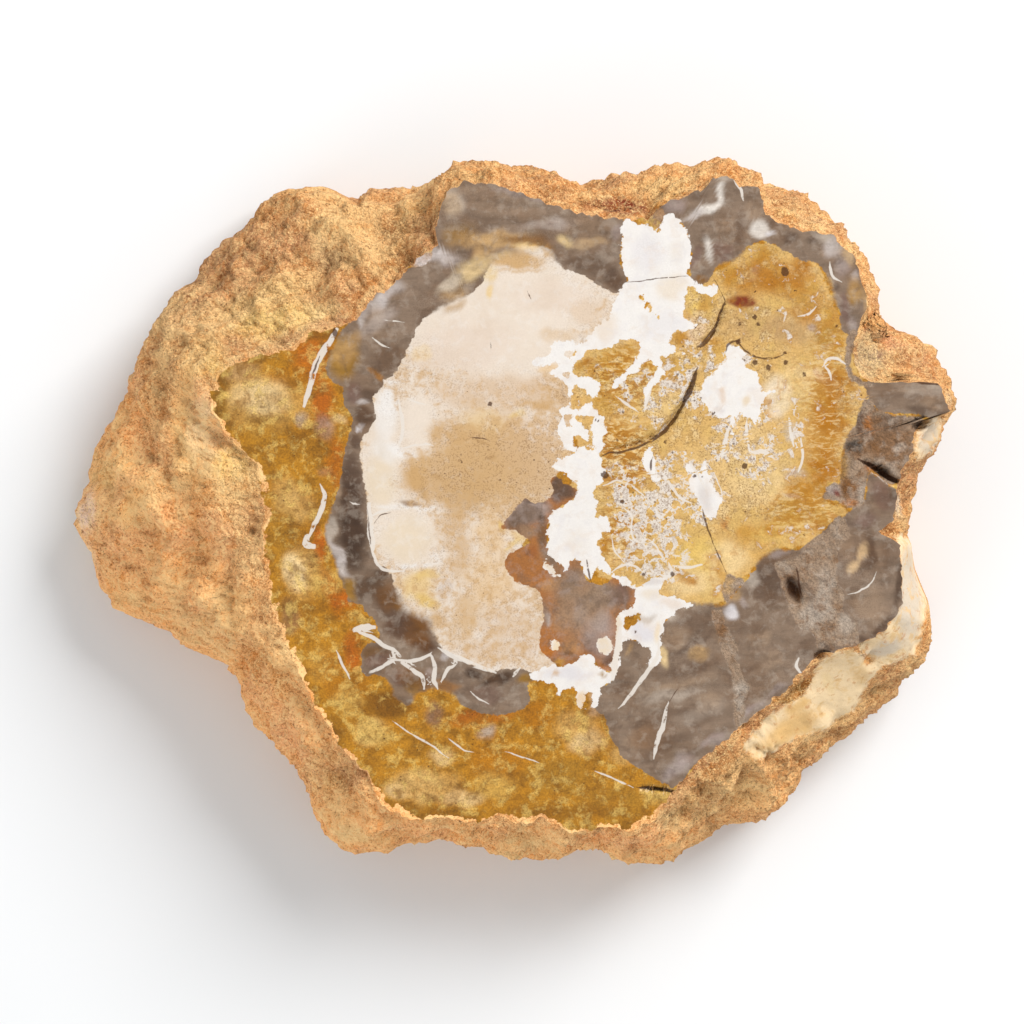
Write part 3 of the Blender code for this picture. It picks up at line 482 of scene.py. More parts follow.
    (76, 23.6, 4, 1.8, "DUSK", 0.6, 5), (80, 25, 5, 0.9, "SMOKE", 0.7), (84.4, 22.4, 2.6, 2.4, "SMOKE", 0.7),
    (81.4, 20.4, 3, 0.8, "DARK_GREY", 0.7), (83, 24.6, 4, 1, "PALE_GREY", 0.5),
    (74.4, 3, 2, 4, "PLUM", 0.8, 30), (76.4, 3.4, 1, 2, "DARK_GREY", 0.7, 20),
    (75.6, -1, 1.4, 2, "STONE_GREY", 0.8), (-25, -17, 3, 3.4, "BROWN", 0.55),
    (-19, -25, 3.4, 3, "BROWN", 0.6, -30), (-19, -33.4, 7, 2.4, "BROWN", 0.35, -15),
    (-8, -36.4, 6, 2, "DUSK", 0.4), (64, 53, 2.2, 2.6, "PALE_LILAC", 0.7, -30),
    (69, 45, 1.6, 3, "OCHRE_SAND", 0.5, 20), (28, -45, 5, 3, "DUSK", 0.45, 20),
    (-32, 0, 1.6, 9, "DARK_GREY", 0.6, 5), (70.6, 13, 2, 8, "BROWN", 0.55),
    (70.4, 22, 1.6, 4, "DARK_OLIVE", 0.5), (2, 54.4, 6, 1.5, "BROWN", 0.7),
    (-6, 52, 2, 2.2, "OCHRE_SAND", 0.8), (3, 52.8, 3, 1, "PALE_YELLOW", 0.7), (69, 13, 1.4, 3, "BROWN", 0.5),
    (50, -17, 4, 3, "DUSK", 0.5, 30), (38, -40, 6, 2, "PALE_GREY", 0.25, 20), (15, 57, 5, 2.4, "SMOKE", 0.8),
    (-34, 32, 3, 3, "OCHRE_SAND", 0.5), (-32, 0, 1.6, 9, "DEEP_GREY", 0.6, 5),
    (-20, -33, 4, 2.4, "BROWN", 0.5, -20), (28, -45, 5, 3, "BROWN", 0.3, 20), (-2, 61, 8, 2.4, "SMOKE", 0.5),
    (-8, 48.4, 4.6, 2.4, "PALE_YELLOW", 0.75, 20), (-12.5, 45.6, 3.4, 1.6, "WARM_CREAM", 0.6, 40),
    (-3, 50.6, 5, 1.4, "PALE_YELLOW", 0.6), (-6, 54.4, 6, 2, "OCHRE_SAND", 0.6),
    (-12, 62, 2.4, 2.6, "OCHRE_SAND", 0.35), (-27, 38, 5, 1.6, "PALE_LILAC", 0.35, 40),
))

# The brown and purple heart, with its stem and its two small cream eyes left to the white
HEARTWOOD = Zone("heartwood", Tone.RED_BROWN, (
    path(-2, -3.2, -0.6, -0.8, 0.8, 0.6, 2.5, 2.6, 3.4, 2.2, 5, 1.8, 6.8, 2.4, 8, 3.4, 8.2, 5, 7.7, 6.2,
        8.6, 7.2, 9.6, 6.8, 10.4, 6, 11.6, 5.6, 12.8, 4.6, 13.1, 3.6, 12.2, 2.4, 10.5, 1.4, 8.6, 0.3,
        7.6, -0.8, 7.3, -3, 7.1, -6, 7.8, -8.4, 9, -9.8, 10.6, -11.2, 11.2, -10.2, 12, -9.6, 13.6, -9.8,
        14, -11.5, 15.4, -13.8, 17.4, -14.8, 19.3, -13.6, 20.8, -12.9, 22.5, -14.2, 25, -15.2, 24.8, -17,
        25.4, -19, 23, -20.2, 22.3, -20.9, 21.8, -23, 22, -25, 21.4, -27.5, 20.8, -30.5, 20, -32, 18, -31.6,
        16.9, -30.4, 15.8, -28.8, 14.4, -28.7, 12.8, -30, 10.5, -30.8, 8.5, -30.2, 6.6, -28.8, 5.5, -27,
        5.8, -24, 6.4, -21, 6, -18, 5, -15.6, 2, -14.6, 0, -13, -1.4, -11, -0.8, -8.8, 1.2, -7.4, 3.6, -6.3,
        2.4, -5, 0.8, -3.6, -0.6, -3.4),
), touches(
    (3, 0, 5, 3, "LILAC", 0.9, 20), (0.4, -2.4, 2, 1, "UMBER", 0.7, 40), (4, 1.9, 3, 0.7, "DARK_GREY", 0.8),
    (10, 4, 3, 2, "PLUM", 0.95, 20), (9, 6, 1.2, 1.2, "DARK_GREY", 0.9), (12, 3.6, 1.4, 1, "DARK_GREY", 0.7),
    (3, -4, 2.2, 1.3, "BROWN", 0.45), (3.2, -4, 2.2, 1.4, "SMOKE", 0.7), (6, -4, 1.2, 4, "DUSK", 0.85, 8),
    (5.6, -1.4, 1, 1, "DEEP_GREY", 0.8), (7.6, -9.4, 1.2, 3, "STONE_GREY", 0.9, 38),
    (3, -10, 3.4, 3, "RED_BROWN", 0.9), (4, -8, 1.6, 1, "RUST", 0.25),
    (8, -14.4, 3, 1.6, "TERRACOTTA", 0.95), (12.4, -12.6, 1.8, 2.4, "DUSK", 0.7),
    (12, -16, 2, 3, "DUSK", 0.6), (18, -17, 5, 3, "STONE_GREY", 0.9), (22, -16.4, 2.6, 2, "PLUM", 0.9),
    (17.6, -17.8, 1.7, 1.3, "PLUM", 0.9), (14, -20, 2, 3, "LILAC", 0.7),
    (9.6, -18, 1.4, 2.4, "BROWN", 0.5, 20), (7, -21.4, 0.8, 1.6, "PALE_LILAC", 0.8),
    (10, -22, 2.6, 3, "TERRACOTTA", 0.5), (6.4, -20, 1.2, 3, "STONE_GREY", 0.7),
    (18, -22, 2.4, 2.6, "LILAC", 0.75), (16.4, -26.4, 2.4, 2.6, "UMBER", 0.65),
    (19, -29.4, 1.4, 2, "UMBER", 0.8), (19, -31.2, 1, 0.7, "CRUST", 0.7),
    (11.6, -27, 2.6, 2, "TERRACOTTA", 0.8), (11.4, -28.4, 1.2, 1, "BROWN", 0.7),
    (7.2, -28, 2, 1.4, "CRUST", 0.7), (9.4, -30, 1.6, 1, "DEEP_GOLD", 0.7), (14, -18, 7, 9, "SMOKE", 0.75),
    (18, -25, 4, 5, "LILAC", 0.5), (2, -1.2, 4, 2.6, "DUSK", 0.85, 25),
    (10, 4.6, 3, 2.4, "DARK_GREY", 0.85, 20), (6.6, -4, 1.6, 3, "BROWN", 0.45, 8),
    (11, -13, 3, 4, "DUSK", 0.4),
))

WHITE = Zone("white", Tone.MILK, (
    path(22.3, 58.4, 26, 57.2, 28.5, 56.8, 29, 54.5, 30, 58.5, 31.5, 59.6, 33, 58.4, 35, 56, 36, 52,
        35.2, 48.5, 36, 46.6, 37.6, 45.4, 40.6, 45.6, 41.2, 43.6, 38.4, 43.6, 36.4, 45, 35, 44.6, 34.4, 42,
        34.6, 39, 37, 37.6, 35, 36.4, 32.3, 35.8, 31.8, 34, 33, 32.4, 34.3, 31.8, 33.2, 31.6, 30.6, 31.4,
        29.9, 29.3, 30.4, 27.6, 29.4, 25.6, 28.4, 25.4, 27, 22.4, 26.6, 24, 27.4, 26, 29, 28, 28.6, 29.6,
        27.2, 30.4, 25.6, 29.6, 25.2, 28, 23.6, 27.6, 22.2, 26.2, 20.6, 24.6, 20.4, 25.6, 22.4, 27.6,
        24, 29.5, 25.4, 31.5, 25.6, 33.6, 23.8, 34.6, 21, 33.9, 19.5, 32.9, 16.5, 32.6, 14.6, 31.4,
        12.9, 29.6, 12.2, 28.6, 13, 27.4, 16, 26.8, 17.6, 25.4, 17, 23.4, 16.2, 22.4, 16.8, 20.6, 18.6, 19,
        18.2, 17.6, 19.2, 16.4, 18.2, 15, 19, 13.4, 17.6, 12.6, 17.4, 11, 17.8, 10, 18.8, 8.4, 18.2, 6.5,
        16.8, 5.2, 16.3, 3, 17.2, 1, 16.8, -1, 19.2, -1, 19.8, -3.4, 18, -4.4, 17, -6.5, 18, -8.6, 19.2, -11,
        21, -12.6, 23, -13.4, 25, -14.8, 27, -14, 28.6, -13.2, 30.6, -13, 30, -14.5, 29.4, -16.4,
        31.4, -17.4, 32.4, -17.2, 36, -18.6, 33, -19.5, 31.8, -21.3, 30.7, -22.3, 30, -24.6, 29.9, -27,
        29.6, -29.4, 28.2, -30.6, 27.2, -30.4, 27.6, -27.6, 26.5, -26.9, 24, -25.7, 22.6, -25.4, 22, -28,
        21.2, -30.4, 21, -32.6, 19.5, -34.3, 17.5, -35.4, 17.4, -37.4, 16.2, -39, 15.8, -36.4, 14.6, -36.8,
        14.4, -39.6, 13.2, -38.6, 13, -36, 11, -35, 10, -35.5, 9.3, -36.6, 8.7, -34.6, 7, -34.2, 5.4, -33.8,
        3.6, -32.6, 6, -31.2, 8, -30.5, 10.5, -31, 13, -29.9, 14, -28.7, 15.3, -28.4, 16.4, -29.3, 17, -30.8,
        18.5, -31.6, 19.6, -31.8, 19.9, -29, 20.8, -25.4, 20.7, -22, 21.8, -20.2, 24, -18.8, 24.8, -17,
        24.4, -15.4, 22.4, -14.8, 20.8, -13.3, 19.4, -12.4, 18, -11.4, 16.4, -11.2, 15.9, -13.4, 15.2, -13.6,
        14.2, -11.4, 13.6, -9.7, 12.5, -9.4, 11.3, -10.2, 10.8, -11.4, 10, -10.3, 8.5, -9.6, 7.5, -8.5,
        7, -6, 7.2, -3, 8, -0.5, 10.2, 1.2, 12.8, 3.2, 13.2, 4.4, 12.5, 6, 11, 7, 10, 8.2, 8.2, 8.6,
        8.8, 10.2, 9.8, 12.2, 10.2, 14.4, 9.2, 16.2, 10, 18.4, 9.4, 20.2, 10.8, 21.6, 11.2, 24, 10, 26.4,
        7.6, 27.6, 8.4, 28.6, 9.6, 29.8, 7.4, 29.6, 4.2, 29.4, 4, 30.6, 7.4, 31.4, 8, 33.6, 10.4, 34.4,
        13.4, 33.8, 15, 34.6, 17, 37, 19, 38.5, 20, 41, 21, 43.5, 23, 46, 22, 50, 22, 54),
    path(37.4, 23.5, 38.6, 26.5, 41, 28.3, 43, 30.8, 45.8, 30.4, 47.6, 29, 49, 27.2, 50, 24.6, 52.4, 24,
        50.2, 22.4, 49.8, 20, 49.2, 17.8, 47.6, 18.8, 45, 19.2, 44.2, 15.4, 43.6, 19, 42, 18.6, 40.4, 19.8,
        38.6, 21.5),
    path(35, 10, 36, 9, 37, 7.6, 38, 8.4, 38.4, 10, 39.5, 7, 40.5, 4.5, 42.3, 2.8, 41.5, 0.8, 40.8, -1.5,
        38.6, -0.5, 37.6, 1.2, 36.6, 3.4, 35.4, 5.6, 36.2, 7, 35.2, 8.6),
    path(17.1, -25.4, 18.4, -24.9, 19.8, -25.5, 20.2, -27, 19.4, -28.2, 18.2, -28.3, 17.2, -27.4),
    path(7.5, -26.2, 8.4, -25.6, 9.3, -25.9, 9.6, -26.9, 8.9, -27.7, 7.9, -27.5),
    path(6.3, -9.9, 7.5, -10.4, 8.9, -11.8, 9.7, -12.9, 8.2, -12.7, 6.8, -11.6),
    path(42.8, 33.4, 43.4, 31.2, 46.6, 31.2, 45.8, 32.6, 44.2, 33),
    path(26.2, 10, 27.2, 13.2, 28.4, 12, 28.8, 8, 29.6, 6.2, 28, 6.4, 27.2, 7.4),
), touches(
    (28, 40, 6, 9, "MILK", 0.8), (30, 37, 5, 3, "BLUE_WHITE", 0.4), (27, 52, 4, 4, "BLUE_WHITE", 0.5),
    (33, 52, 2, 3, "WHITE", 0.6), (32, 45, 3, 3, "WARM_CREAM", 0.6), (19, 37, 2.6, 3, "CREAM", 0.8, 30),
    (13, -6, 3, 3, "WHITE", 0.6), (28.4, -16.6, 3, 1.6, "WARM_CREAM", 0.6),
    (32, -18.6, 3, 1, "PINK_CREAM", 0.6), (26.4, -24, 3, 2.4, "BLUE_WHITE", 0.95, -30),
    (26.6, -21, 2.4, 0.9, "PALE_GREY", 0.7), (29.2, -24.4, 0.8, 2.4, "PALE_YELLOW", 0.5),
    (20.9, -24, 0.9, 6, "WARM_CREAM", 0.9), (20.5, -30, 0.9, 3, "WARM_CREAM", 0.8),
    (11, -32.5, 6, 1.6, "BLUE_WHITE", 0.8), (9, -32.4, 0.7, 1, "DEEP_GOLD", 0.6),
    (18.2, -33.2, 0.7, 0.8, "OLIVE", 0.8, 30), (14, -37.4, 1.2, 1.8, "PEACH", 0.8),
    (18.6, -26.7, 2, 2, "WARM_CREAM"), (8.5, -26.7, 1.4, 1.4, "PALE_YELLOW", 0.8),
    (7.8, -11.2, 2.6, 1, "WARM_CREAM", 0.9, -40), (42.3, 23.4, 1, 1.5, "PINK_CREAM"),
    (46.5, 22, 1, 1.1, "WARM_CREAM"), (41, 20.4, 1.4, 0.8, "PALE_LILAC", 0.5),
    (38.6, 3, 2, 3, "PALE_LILAC", 0.5), (44.6, 32.2, 2.4, 1, "MILK", 0.9),
    (27, -13.6, 3, 0.8, "PALE_LILAC", 0.5),
), (
    path(11, 32.2, 12.8, 31.9, 12, 30.9, 11.2, 29.8),
    path(9.9, 27.8, 11, 28.1, 11.4, 26.9, 10.4, 27),
    path(12.1, 25.4, 13.9, 25, 15.6, 22.6, 14.6, 20.9, 11.9, 20.6, 11.8, 22.4),
    path(10.5, 19.2, 11.7, 19.3, 11.7, 17.4, 10.6, 17.2),
    path(13.2, 19.2, 15.8, 19, 16, 17.6, 14.9, 16.6, 13.6, 17.6),
    path(12.4, 14.8, 13.2, 15.4, 15.2, 14.6, 15.8, 15.9, 16.4, 14, 16.8, 12.9, 14.6, 12.8, 12.8, 13.2),
    path(22.6, -23, 22.9, -21.3, 24, -20.5, 25.4, -20.3, 25.6, -21.4, 24.6, -22.8, 23.2, -23.6),
    path(16, -12, 17, -11.6, 17.8, -12.8, 19, -12.9, 18, -13.9, 16.6, -13.9),
    path(26, 43.6, 27.4, 42.2, 28, 40.2, 29.4, 38.6, 28.6, 39.6, 26.8, 41),
    path(9.6, 12.2, 11.8, 12.4, 12, 11.4, 9, 10.8),
    path(30.2, 31, 32.6, 31.2, 32.4, 29.8, 30.4, 29.4),
))

DRUSE = Zone("druse", Tone.SMOKE, (
    path(60, -5.5, 63, -3.6, 64.5, -1.3, 66.4, -1, 67.5, -4.5, 65.5, -7, 65.2, -10, 65, -14, 66.5, -16,
        66.3, -19.5, 68.5, -22, 69.3, -24.5, 68.6, -27, 65, -27, 62.2, -30, 61, -27.5, 60.3, -24.5,
        57.5, -23, 56, -20.5, 54.8, -17.5, 53.6, -13.5, 52.6, -10.4, 55, -9.4, 57.5, -8.5),
    path(40, -19.5, 42.3, -20, 42.6, -22, 44, -24.5, 45.2, -27, 45, -29.5, 46, -32, 47.4, -35, 46.6, -38,
        46.5, -41, 45.5, -45, 44.3, -41, 44.5, -36, 43.3, -31, 42, -28, 41.3, -25, 40.2, -22),
    path(66, 10, 66.8, 14.6, 68.8, 17.5, 69.5, 20.5, 71.5, 23.5, 73, 20.6, 77, 19.4, 81, 19.2, 83.6, 18.4,
        81.6, 16, 81, 12, 79.4, 8, 76, 5.4, 73, 7.6, 71.4, 8, 70.6, 3.4, 69.6, 1, 67, 0.9, 65.2, 2.2,
        62.4, 2.8, 63.4, 5.4, 65.6, 6),
    path(43, -12.6, 45, -13, 46.6, -13.8, 44.6, -16.2, 42.8, -18.2, 42, -16),
    path(68, 36.6, 69, 35, 67.6, 30, 69, 27, 72.5, 25.6, 70.4, 25, 67.4, 27.2, 66.6, 31, 67, 35),
), touches(
    (56.4, -14.6, 3.4, 1.5, "UMBER", 0.95, 100), (54.4, -13, 1, 2.4, "DUSK", 0.7, 20),
    (59.4, -17, 1.2, 4, "DUSK", 0.7, 25), (60, -20.6, 3, 3, "PALE_GREY", 0.6),
    (62.6, -16, 2, 6, "PALE_GREY", 0.6), (66.6, -22, 2, 3, "PALE_GREY", 0.6),
    (62.6, -27.6, 2.6, 1.6, "DARK_GREY", 0.7, -20), (61.6, -29.4, 1.2, 1, "BLACK_BROWN", 0.8),
    (41.6, -22.6, 1.6, 3, "BROWN", 0.5), (43, -14.6, 2, 2, "DULL_SAND", 0.9),
    (45.6, -36, 1.6, 3, "PALE_GREY", 0.8), (75.6, 13.4, 6, 5, "BROWN", 0.65), (76, 18, 4, 2, "DUSK", 0.7),
    (78, 12.6, 1.4, 1, "PALE_GREY", 0.7), (68.6, 13, 2.2, 2, "BLACK_BROWN", 0.85),
    (73.4, 8.4, 3, 1.4, "BLACK_BROWN", 0.8, -20), (69.8, 17.6, 0.9, 3.4, "UMBER", 0.8),
    (71.8, 17.4, 0.9, 3, "CRUST", 0.85), (71.4, 9, 1.4, 0.8, "CRUST", 0.8),
    (66.6, 8.4, 1.4, 3, "OLIVE", 0.7), (64.4, 4.4, 2, 1.4, "LILAC", 0.7),
    (65, 3.6, 1, 0.7, "RUST", 0.8, -20), (67.6, 4.6, 1.6, 2.4, "BROWN", 0.9),
    (67.4, 1.6, 1.6, 1, "CRUST", 0.7), (69.6, 4, 1.2, 3, "PALE_GREY", 0.5),
    (82, 17.6, 1.8, 1.4, "DEEP_GREY", 0.9, 20),
))

ZONES = (JASPER, GOLD, CREAM, GREY, HEARTWOOD, WHITE, DRUSE)

# The rind round the outside, palest near the polished face, with its smooth spalls and its pockets
RIND = Zone("rind", Tone.RIND, (), touches(
    (-62, 46, 16, 12, "RIND_PINK", 0.6, 30), (-46, 56, 12, 7, "RIND_PINK", 0.5, 20),
    (-50, 42, 12, 4.6, "RIND_LIGHT", 0.95, 25), (-41, 39, 9, 3.2, "RIND_PALE", 0.95, 10),
    (-48, 34.5, 6, 2.4, "DULL_SAND", 0.7, 10), (-62, 31, 6, 8, "RIND_LIGHT", 0.7, 20),
    (-64, 15, 5, 12, "RIND_LIGHT", 0.8), (-55, 8, 6, 7, "RIND_LIGHT", 0.7),
    (-54, -6, 5, 10, "DULL_SAND", 0.6), (-74, 14, 6, 9, "RIND_PINK", 0.5, 10),
    (-70, 0, 7, 6, "RIND_PINK", 0.6), (-77, -8, 8, 8, "RIND_PINK", 0.4), (-84, 3, 5, 8, "RIND_LIGHT", 0.7),
    (-87.4, 0.4, 2, 5.4, "SPALL", 0.9, -10), (-86.4, -8, 1.6, 4.6, "SPALL", 0.7, 20),
    (-60, -22, 12, 6, "RIND_PINK", 0.55, -20), (-50, -33, 5, 10, "RIND_BROWN", 0.6, 25),
    (-45, -44, 5, 7, "RIND_PINK", 0.7, 20), (-56, -20, 4, 6, "RIND_LIGHT", 0.5, 20),
    (-38, -53, 6, 4, "RIND_LIGHT", 0.5), (-37, 51.5, 4, 3.6, "PLUM", 0.55),
    (-24, 57.6, 2.6, 3, "RIND_DARK", 0.7), (-24, 49.4, 4, 1.6, "RIND_BROWN", 0.8, 20),
    (-30, 44.6, 5, 1.2, "CRUST", 0.7, 40), (-36, 38, 6, 1, "RIND_PINK", 0.7, 10),
    (-20, 60, 5, 4, "RIND_LIGHT", 0.6), (-8, 68, 8, 2, "CRUST", 0.5), (10, 66, 14, 2.4, "CRUST", 0.4, -8),
    (22.4, 61.8, 8.4, 1.9, "DARK_OLIVE", 0.95, -3), (22, 61.4, 9, 1.7, "RUST", 0.8, -3),
    (30, 61.6, 4, 1.2, "HONEY", 0.8), (32, 63.6, 3, 0.9, "HONEY", 0.7), (30, 66, 7, 2.4, "RIND_LIGHT", 0.7),
    (43, 68.6, 4, 1.4, "CRUST", 0.5, -10), (56, 61.4, 7, 3, "RIND_LIGHT", 0.8, -20),
    (60, 58.4, 4, 1.8, "RIND_PALE", 0.8, -30), (68.6, 52.4, 2.6, 3, "RIND_LIGHT", 0.6, 30),
    (72.6, 44, 1.4, 3, "RIND_PINK", 0.8, 10), (72.6, 37.6, 2.6, 2.6, "CRUST", 0.7),
    (71.2, 36.2, 0.8, 1.2, "RUST", 0.9), (71.4, 30.6, 4, 5.4, "SMOKE", 0.95),
    (70, 32.4, 2, 2.4, "DUSK", 0.6), (77, 31.4, 3, 3, "DULL_SAND", 0.8), (83, 30, 3, 3.4, "RIND_PINK", 0.8),
    (83, 27.2, 3.4, 0.5, "RUST", 0.6), (77, 26.9, 1.4, 1.1, "UMBER", 0.95), (88, 22.6, 1.4, 3, "SMOKE", 0.7),
    (82.2, 17.8, 2, 1.9, "DEEP_GREY", 0.9, 20), (84.6, 15.4, 2, 4.4, "WALL", 1, -25),
    (83.4, 12, 1.6, 1.2, "RIND_PINK", 0.8, 30), (80, 8.4, 2.4, 3, "RIND_PINK", 0.8, -30),
    (79, 4.4, 2, 1.4, "RIND_BROWN", 0.8), (77.4, 1.6, 1, 3, "WALL", 0.8, 5),
    (77, -4, 3.4, 1.4, "RIND_BROWN", 0.9, -10), (83.6, -20, 1.6, 8, "CRUST", 0.8, 5),
    (79, -32, 6, 3, "RIND_PINK", 0.6, 30), (71.6, -29.4, 4, 1, "RIND_BROWN", 0.8, -25),
    (61.4, -31, 2.4, 1, "RIND_DARK", 0.8, 45), (57.2, -36, 5, 1.7, "DARK_OLIVE", 1, 40),
    (52.4, -38.6, 3, 0.8, "HONEY", 0.8, 20), (47.6, -43.4, 3, 0.9, "CRUST", 0.8, 35),
    (41, -48.6, 5, 1.4, "RIND_DARK", 0.75, 30), (43, -51.6, 5, 2.4, "RIND_BROWN", 0.7, 20),
    (36.6, -51.6, 2.4, 1, "RIND_DARK", 0.7, 40), (40, -55, 3, 2, "RIND_BROWN", 0.7, 30),
    (34, -58, 3.4, 3.4, "RIND_LIGHT", 0.7), (32, -62.4, 3, 2.4, "RIND_PALE", 0.8),
    (47, -57, 6, 3, "RIND_LIGHT", 0.5, 30), (55, -52, 8, 2, "RIND_BROWN", 0.5, 35),
    (67, -44.6, 6, 1.8, "RIND_BROWN", 0.6, 30), (20, -66, 12, 2, "RIND_PINK", 0.5),
    (2, -66.4, 4, 2, "RIND_PALE", 0.8), (-32, -65.6, 4, 2, "RIND_PALE", 0.8),
    (-20, -63.4, 8, 1.4, "RIND_PINK", 0.5), (-48, 38, 10, 3.4, "STRAW", 0.5, 15),
    (-59, 26, 3, 8, "STRAW", 0.35, 15), (-57, 10, 4, 4, "STRAW", 0.4), (-36, 58, 9, 3, "RIND_LIGHT", 0.5),
    (-66, 2, 6, 7, "CRUST", 0.3), (-48, 62, 10, 3, "CRUST", 0.25, 20), (-86.5, 0, 2, 5, "MILK", 0.8, -8),
    (-62, 17, 4, 9, "SPALL", 0.5), (-79, 5, 8, 9, "RIND_LIGHT", 0.5), (-78, 18, 6, 8, "CRUST", 0.3, 20),
    (22, 61.6, 7, 1.8, "RUST", 1, -3), (-30, 58, 6, 4, "CRUST", 0.4), (81.6, 31, 4, 4, "RIND_PINK", 0.7),
    (76, 34, 4, 2, "SALMON", 0.5, -20), (71, 31, 3.4, 4.6, "STONE_GREY", 0.6),
))

SPALLS = (
    path(62, -29.4, 66, -27.9, 69.6, -28.6, 72, -30.4, 75, -30.4, 73.6, -33, 71.6, -36, 70.4, -39.6,
        66.6, -41.8, 63.4, -44.4, 58, -45.4, 52.4, -48.4, 48.6, -49.6, 46.4, -47.4, 48.6, -44, 51.6, -41,
        55, -38.8, 58.6, -37.2, 60.6, -33.4),
    path(77.4, -5.6, 80.4, -5.4, 82, -8, 83.6, -13, 84.4, -18, 84.2, -22, 82.6, -26, 81.4, -28.8, 77, -30.6,
        72.4, -29.8, 70.4, -27.4, 70.6, -26, 76, -22, 77.6, -14),
    path(83.4, 18.6, 87, 18.8, 86.8, 15.6, 84.4, 12.4, 82, 10.8, 80.8, 12.4, 81.2, 15.4, 82.6, 16.8),
)
SPALL_TINT = Zone("spall", Tone.SPALL, (), touches(
    (80, -16, 4, 12, "WALL"), (75, -27.4, 5, 2, "WALL", 0.9, 20), (84, 15, 3, 5, "WALL", 0.9),
    (57, -43, 6, 3, "RIND_LIGHT", 0.9, 25), (53, -45.6, 6, 2, "SPALL_TAN", 0.7, 25),
    (57, -39.4, 3, 1.4, "RIND_LIGHT", 0.9, 30), (63.6, -34.6, 1, 3, "PALE_YELLOW", 0.5, 20),
    (70, -33, 2.4, 2.4, "SPALL_TAN", 0.5),
))

# Shares over the face: how gritty the stone is, and how much white network runs through it
GRIT = touches(
    (2, 38, 26, 13, 0), (-6, 22, 14, 5, 0.35), (-4, 8, 16, 11, 0.75), (-6, -12, 14, 18, 0.45),
    (-21, -5, 6, 6.4, 0), (-26, 10, 4, 14, 0), (-19, 18, 4, 6, 0.05), (-22, 6, 3, 4, 0.35),
    (40, 20, 34, 34, 0.9), (58, 20, 7, 30, 0.35), (53, 23, 3, 5, 0), (42, -10, 12, 6, 0.25),
    (-45, 5, 16, 40, 0.65), (0, -50, 40, 14, 0.65), (3, 0, 4, 3, 1, 1, 20), (14, -18, 9, 12, 0.8),
    (3, -10, 5, 4, 0.45), (18, -17, 3, 2, 0.2), (-23, -20, 6, 6, 0.45), (20, -56, 14, 8, 0.6),
    (28, 42, 7, 16, 0.05), (12, -4, 5, 10, 0.05), (45, 24, 6, 5, 0.05), (52, -4, 8, 3, 0.1, 1, 15),
    (46.2, 42.2, 4, 2.4, 0), (62, 20, 4, 20, 0.15), (50, -22, 30, 16, 0.08, 1, 20), (0, 60, 20, 8, 0.1),
    (43, 58, 14, 8, 0.3),
)
NETWORK = touches(
    (28, -2, 9, 10, 0.95), (24, 6, 6, 5, 0.6), (37, 4, 6, 8, 0.8), (32, 8, 6, 5, 0.6), (30, -10, 8, 4, 0.8),
    (50, 18, 8, 8, 0.3), (48, 10, 8, 6, 0.35), (42, 14, 4, 5, 0.4), (28, 20, 5, 7, 0.3), (57, 17, 3, 8, 0.4),
    (24, 24, 5, 4, 0.5), (63, 30, 5, 6, 0.25), (42, 28, 9, 6, 0.5), (46, 14, 9, 9, 0.5),
    (32, 24, 8, 8, 0.45),
)
# Where the gold is drawn out sideways into a comb
COMB = touches(
    (23, 27, 9, 7, 0.9), (22, 11, 8, 9, 1), (22, -4, 6, 8, 0.9), (63, 22, 6, 18, 0.6), (58, 0, 9, 6, 0.6),
)
# How softly the grey stone ends
SOFTNESS = touches(
    (0, 53, 14, 4, 1.8), (-19, -20, 7, 7, 1.3, 1, -30), (-31.5, 31, 5, 7, 0.8),
    (-36.5, -4, 2, 12, 0.5, 1, 10), (-26, 44, 6, 3, 0.5, 1, 35), (-13, 42, 5, 3, 0.8, 1, 30),
    (38, -18, 10, 2, 0.7), (50, -8, 6, 3, 0.8), (-20, -36, 20, 3, 0.5), (46, 50, 8, 2, 0.6),
    (64, 45, 2, 6, 0.8), (-31, 0, 1.6, 14, 0.25),
)
# Where the rind creeps over the edge of the face
CRUSTY = touches(
    (-57, 18, 3.4, 12, 1, 1, 10), (-50, 0, 3.4, 16, 1), (-45, -24, 3.6, 14, 1, 1, 22),
    (-37, -44, 4, 12, 1, 1, 40), (-26, -58, 12, 3.4, 1, 1, -15), (0, -62.6, 18, 3, 0.9),
    (26, -62, 10, 3.4, 0.9, 1, 5), (-46, 34, 12, 3, 0.8, 1, 20), (72, 10, 4, 12, 0.7),
)
# Painted light: the rind is brightened down the left and the lower edge, the sides turned away from the key
# light, so they look as lit as the rest
PAINTED_FILL_LIGHT = touches(
    (-63, 16, 7, 13, 0.8, 1, 10), (-72, -16, 22, 26, 1), (-56, -42, 24, 20, 1), (-30, -66, 30, 12, 1),
    (14, -72, 40, 12, 0.9), (-84, 16, 14, 30, 0.8, 1, 10), (60, -58, 26, 10, 0.35, 1, 35),
)

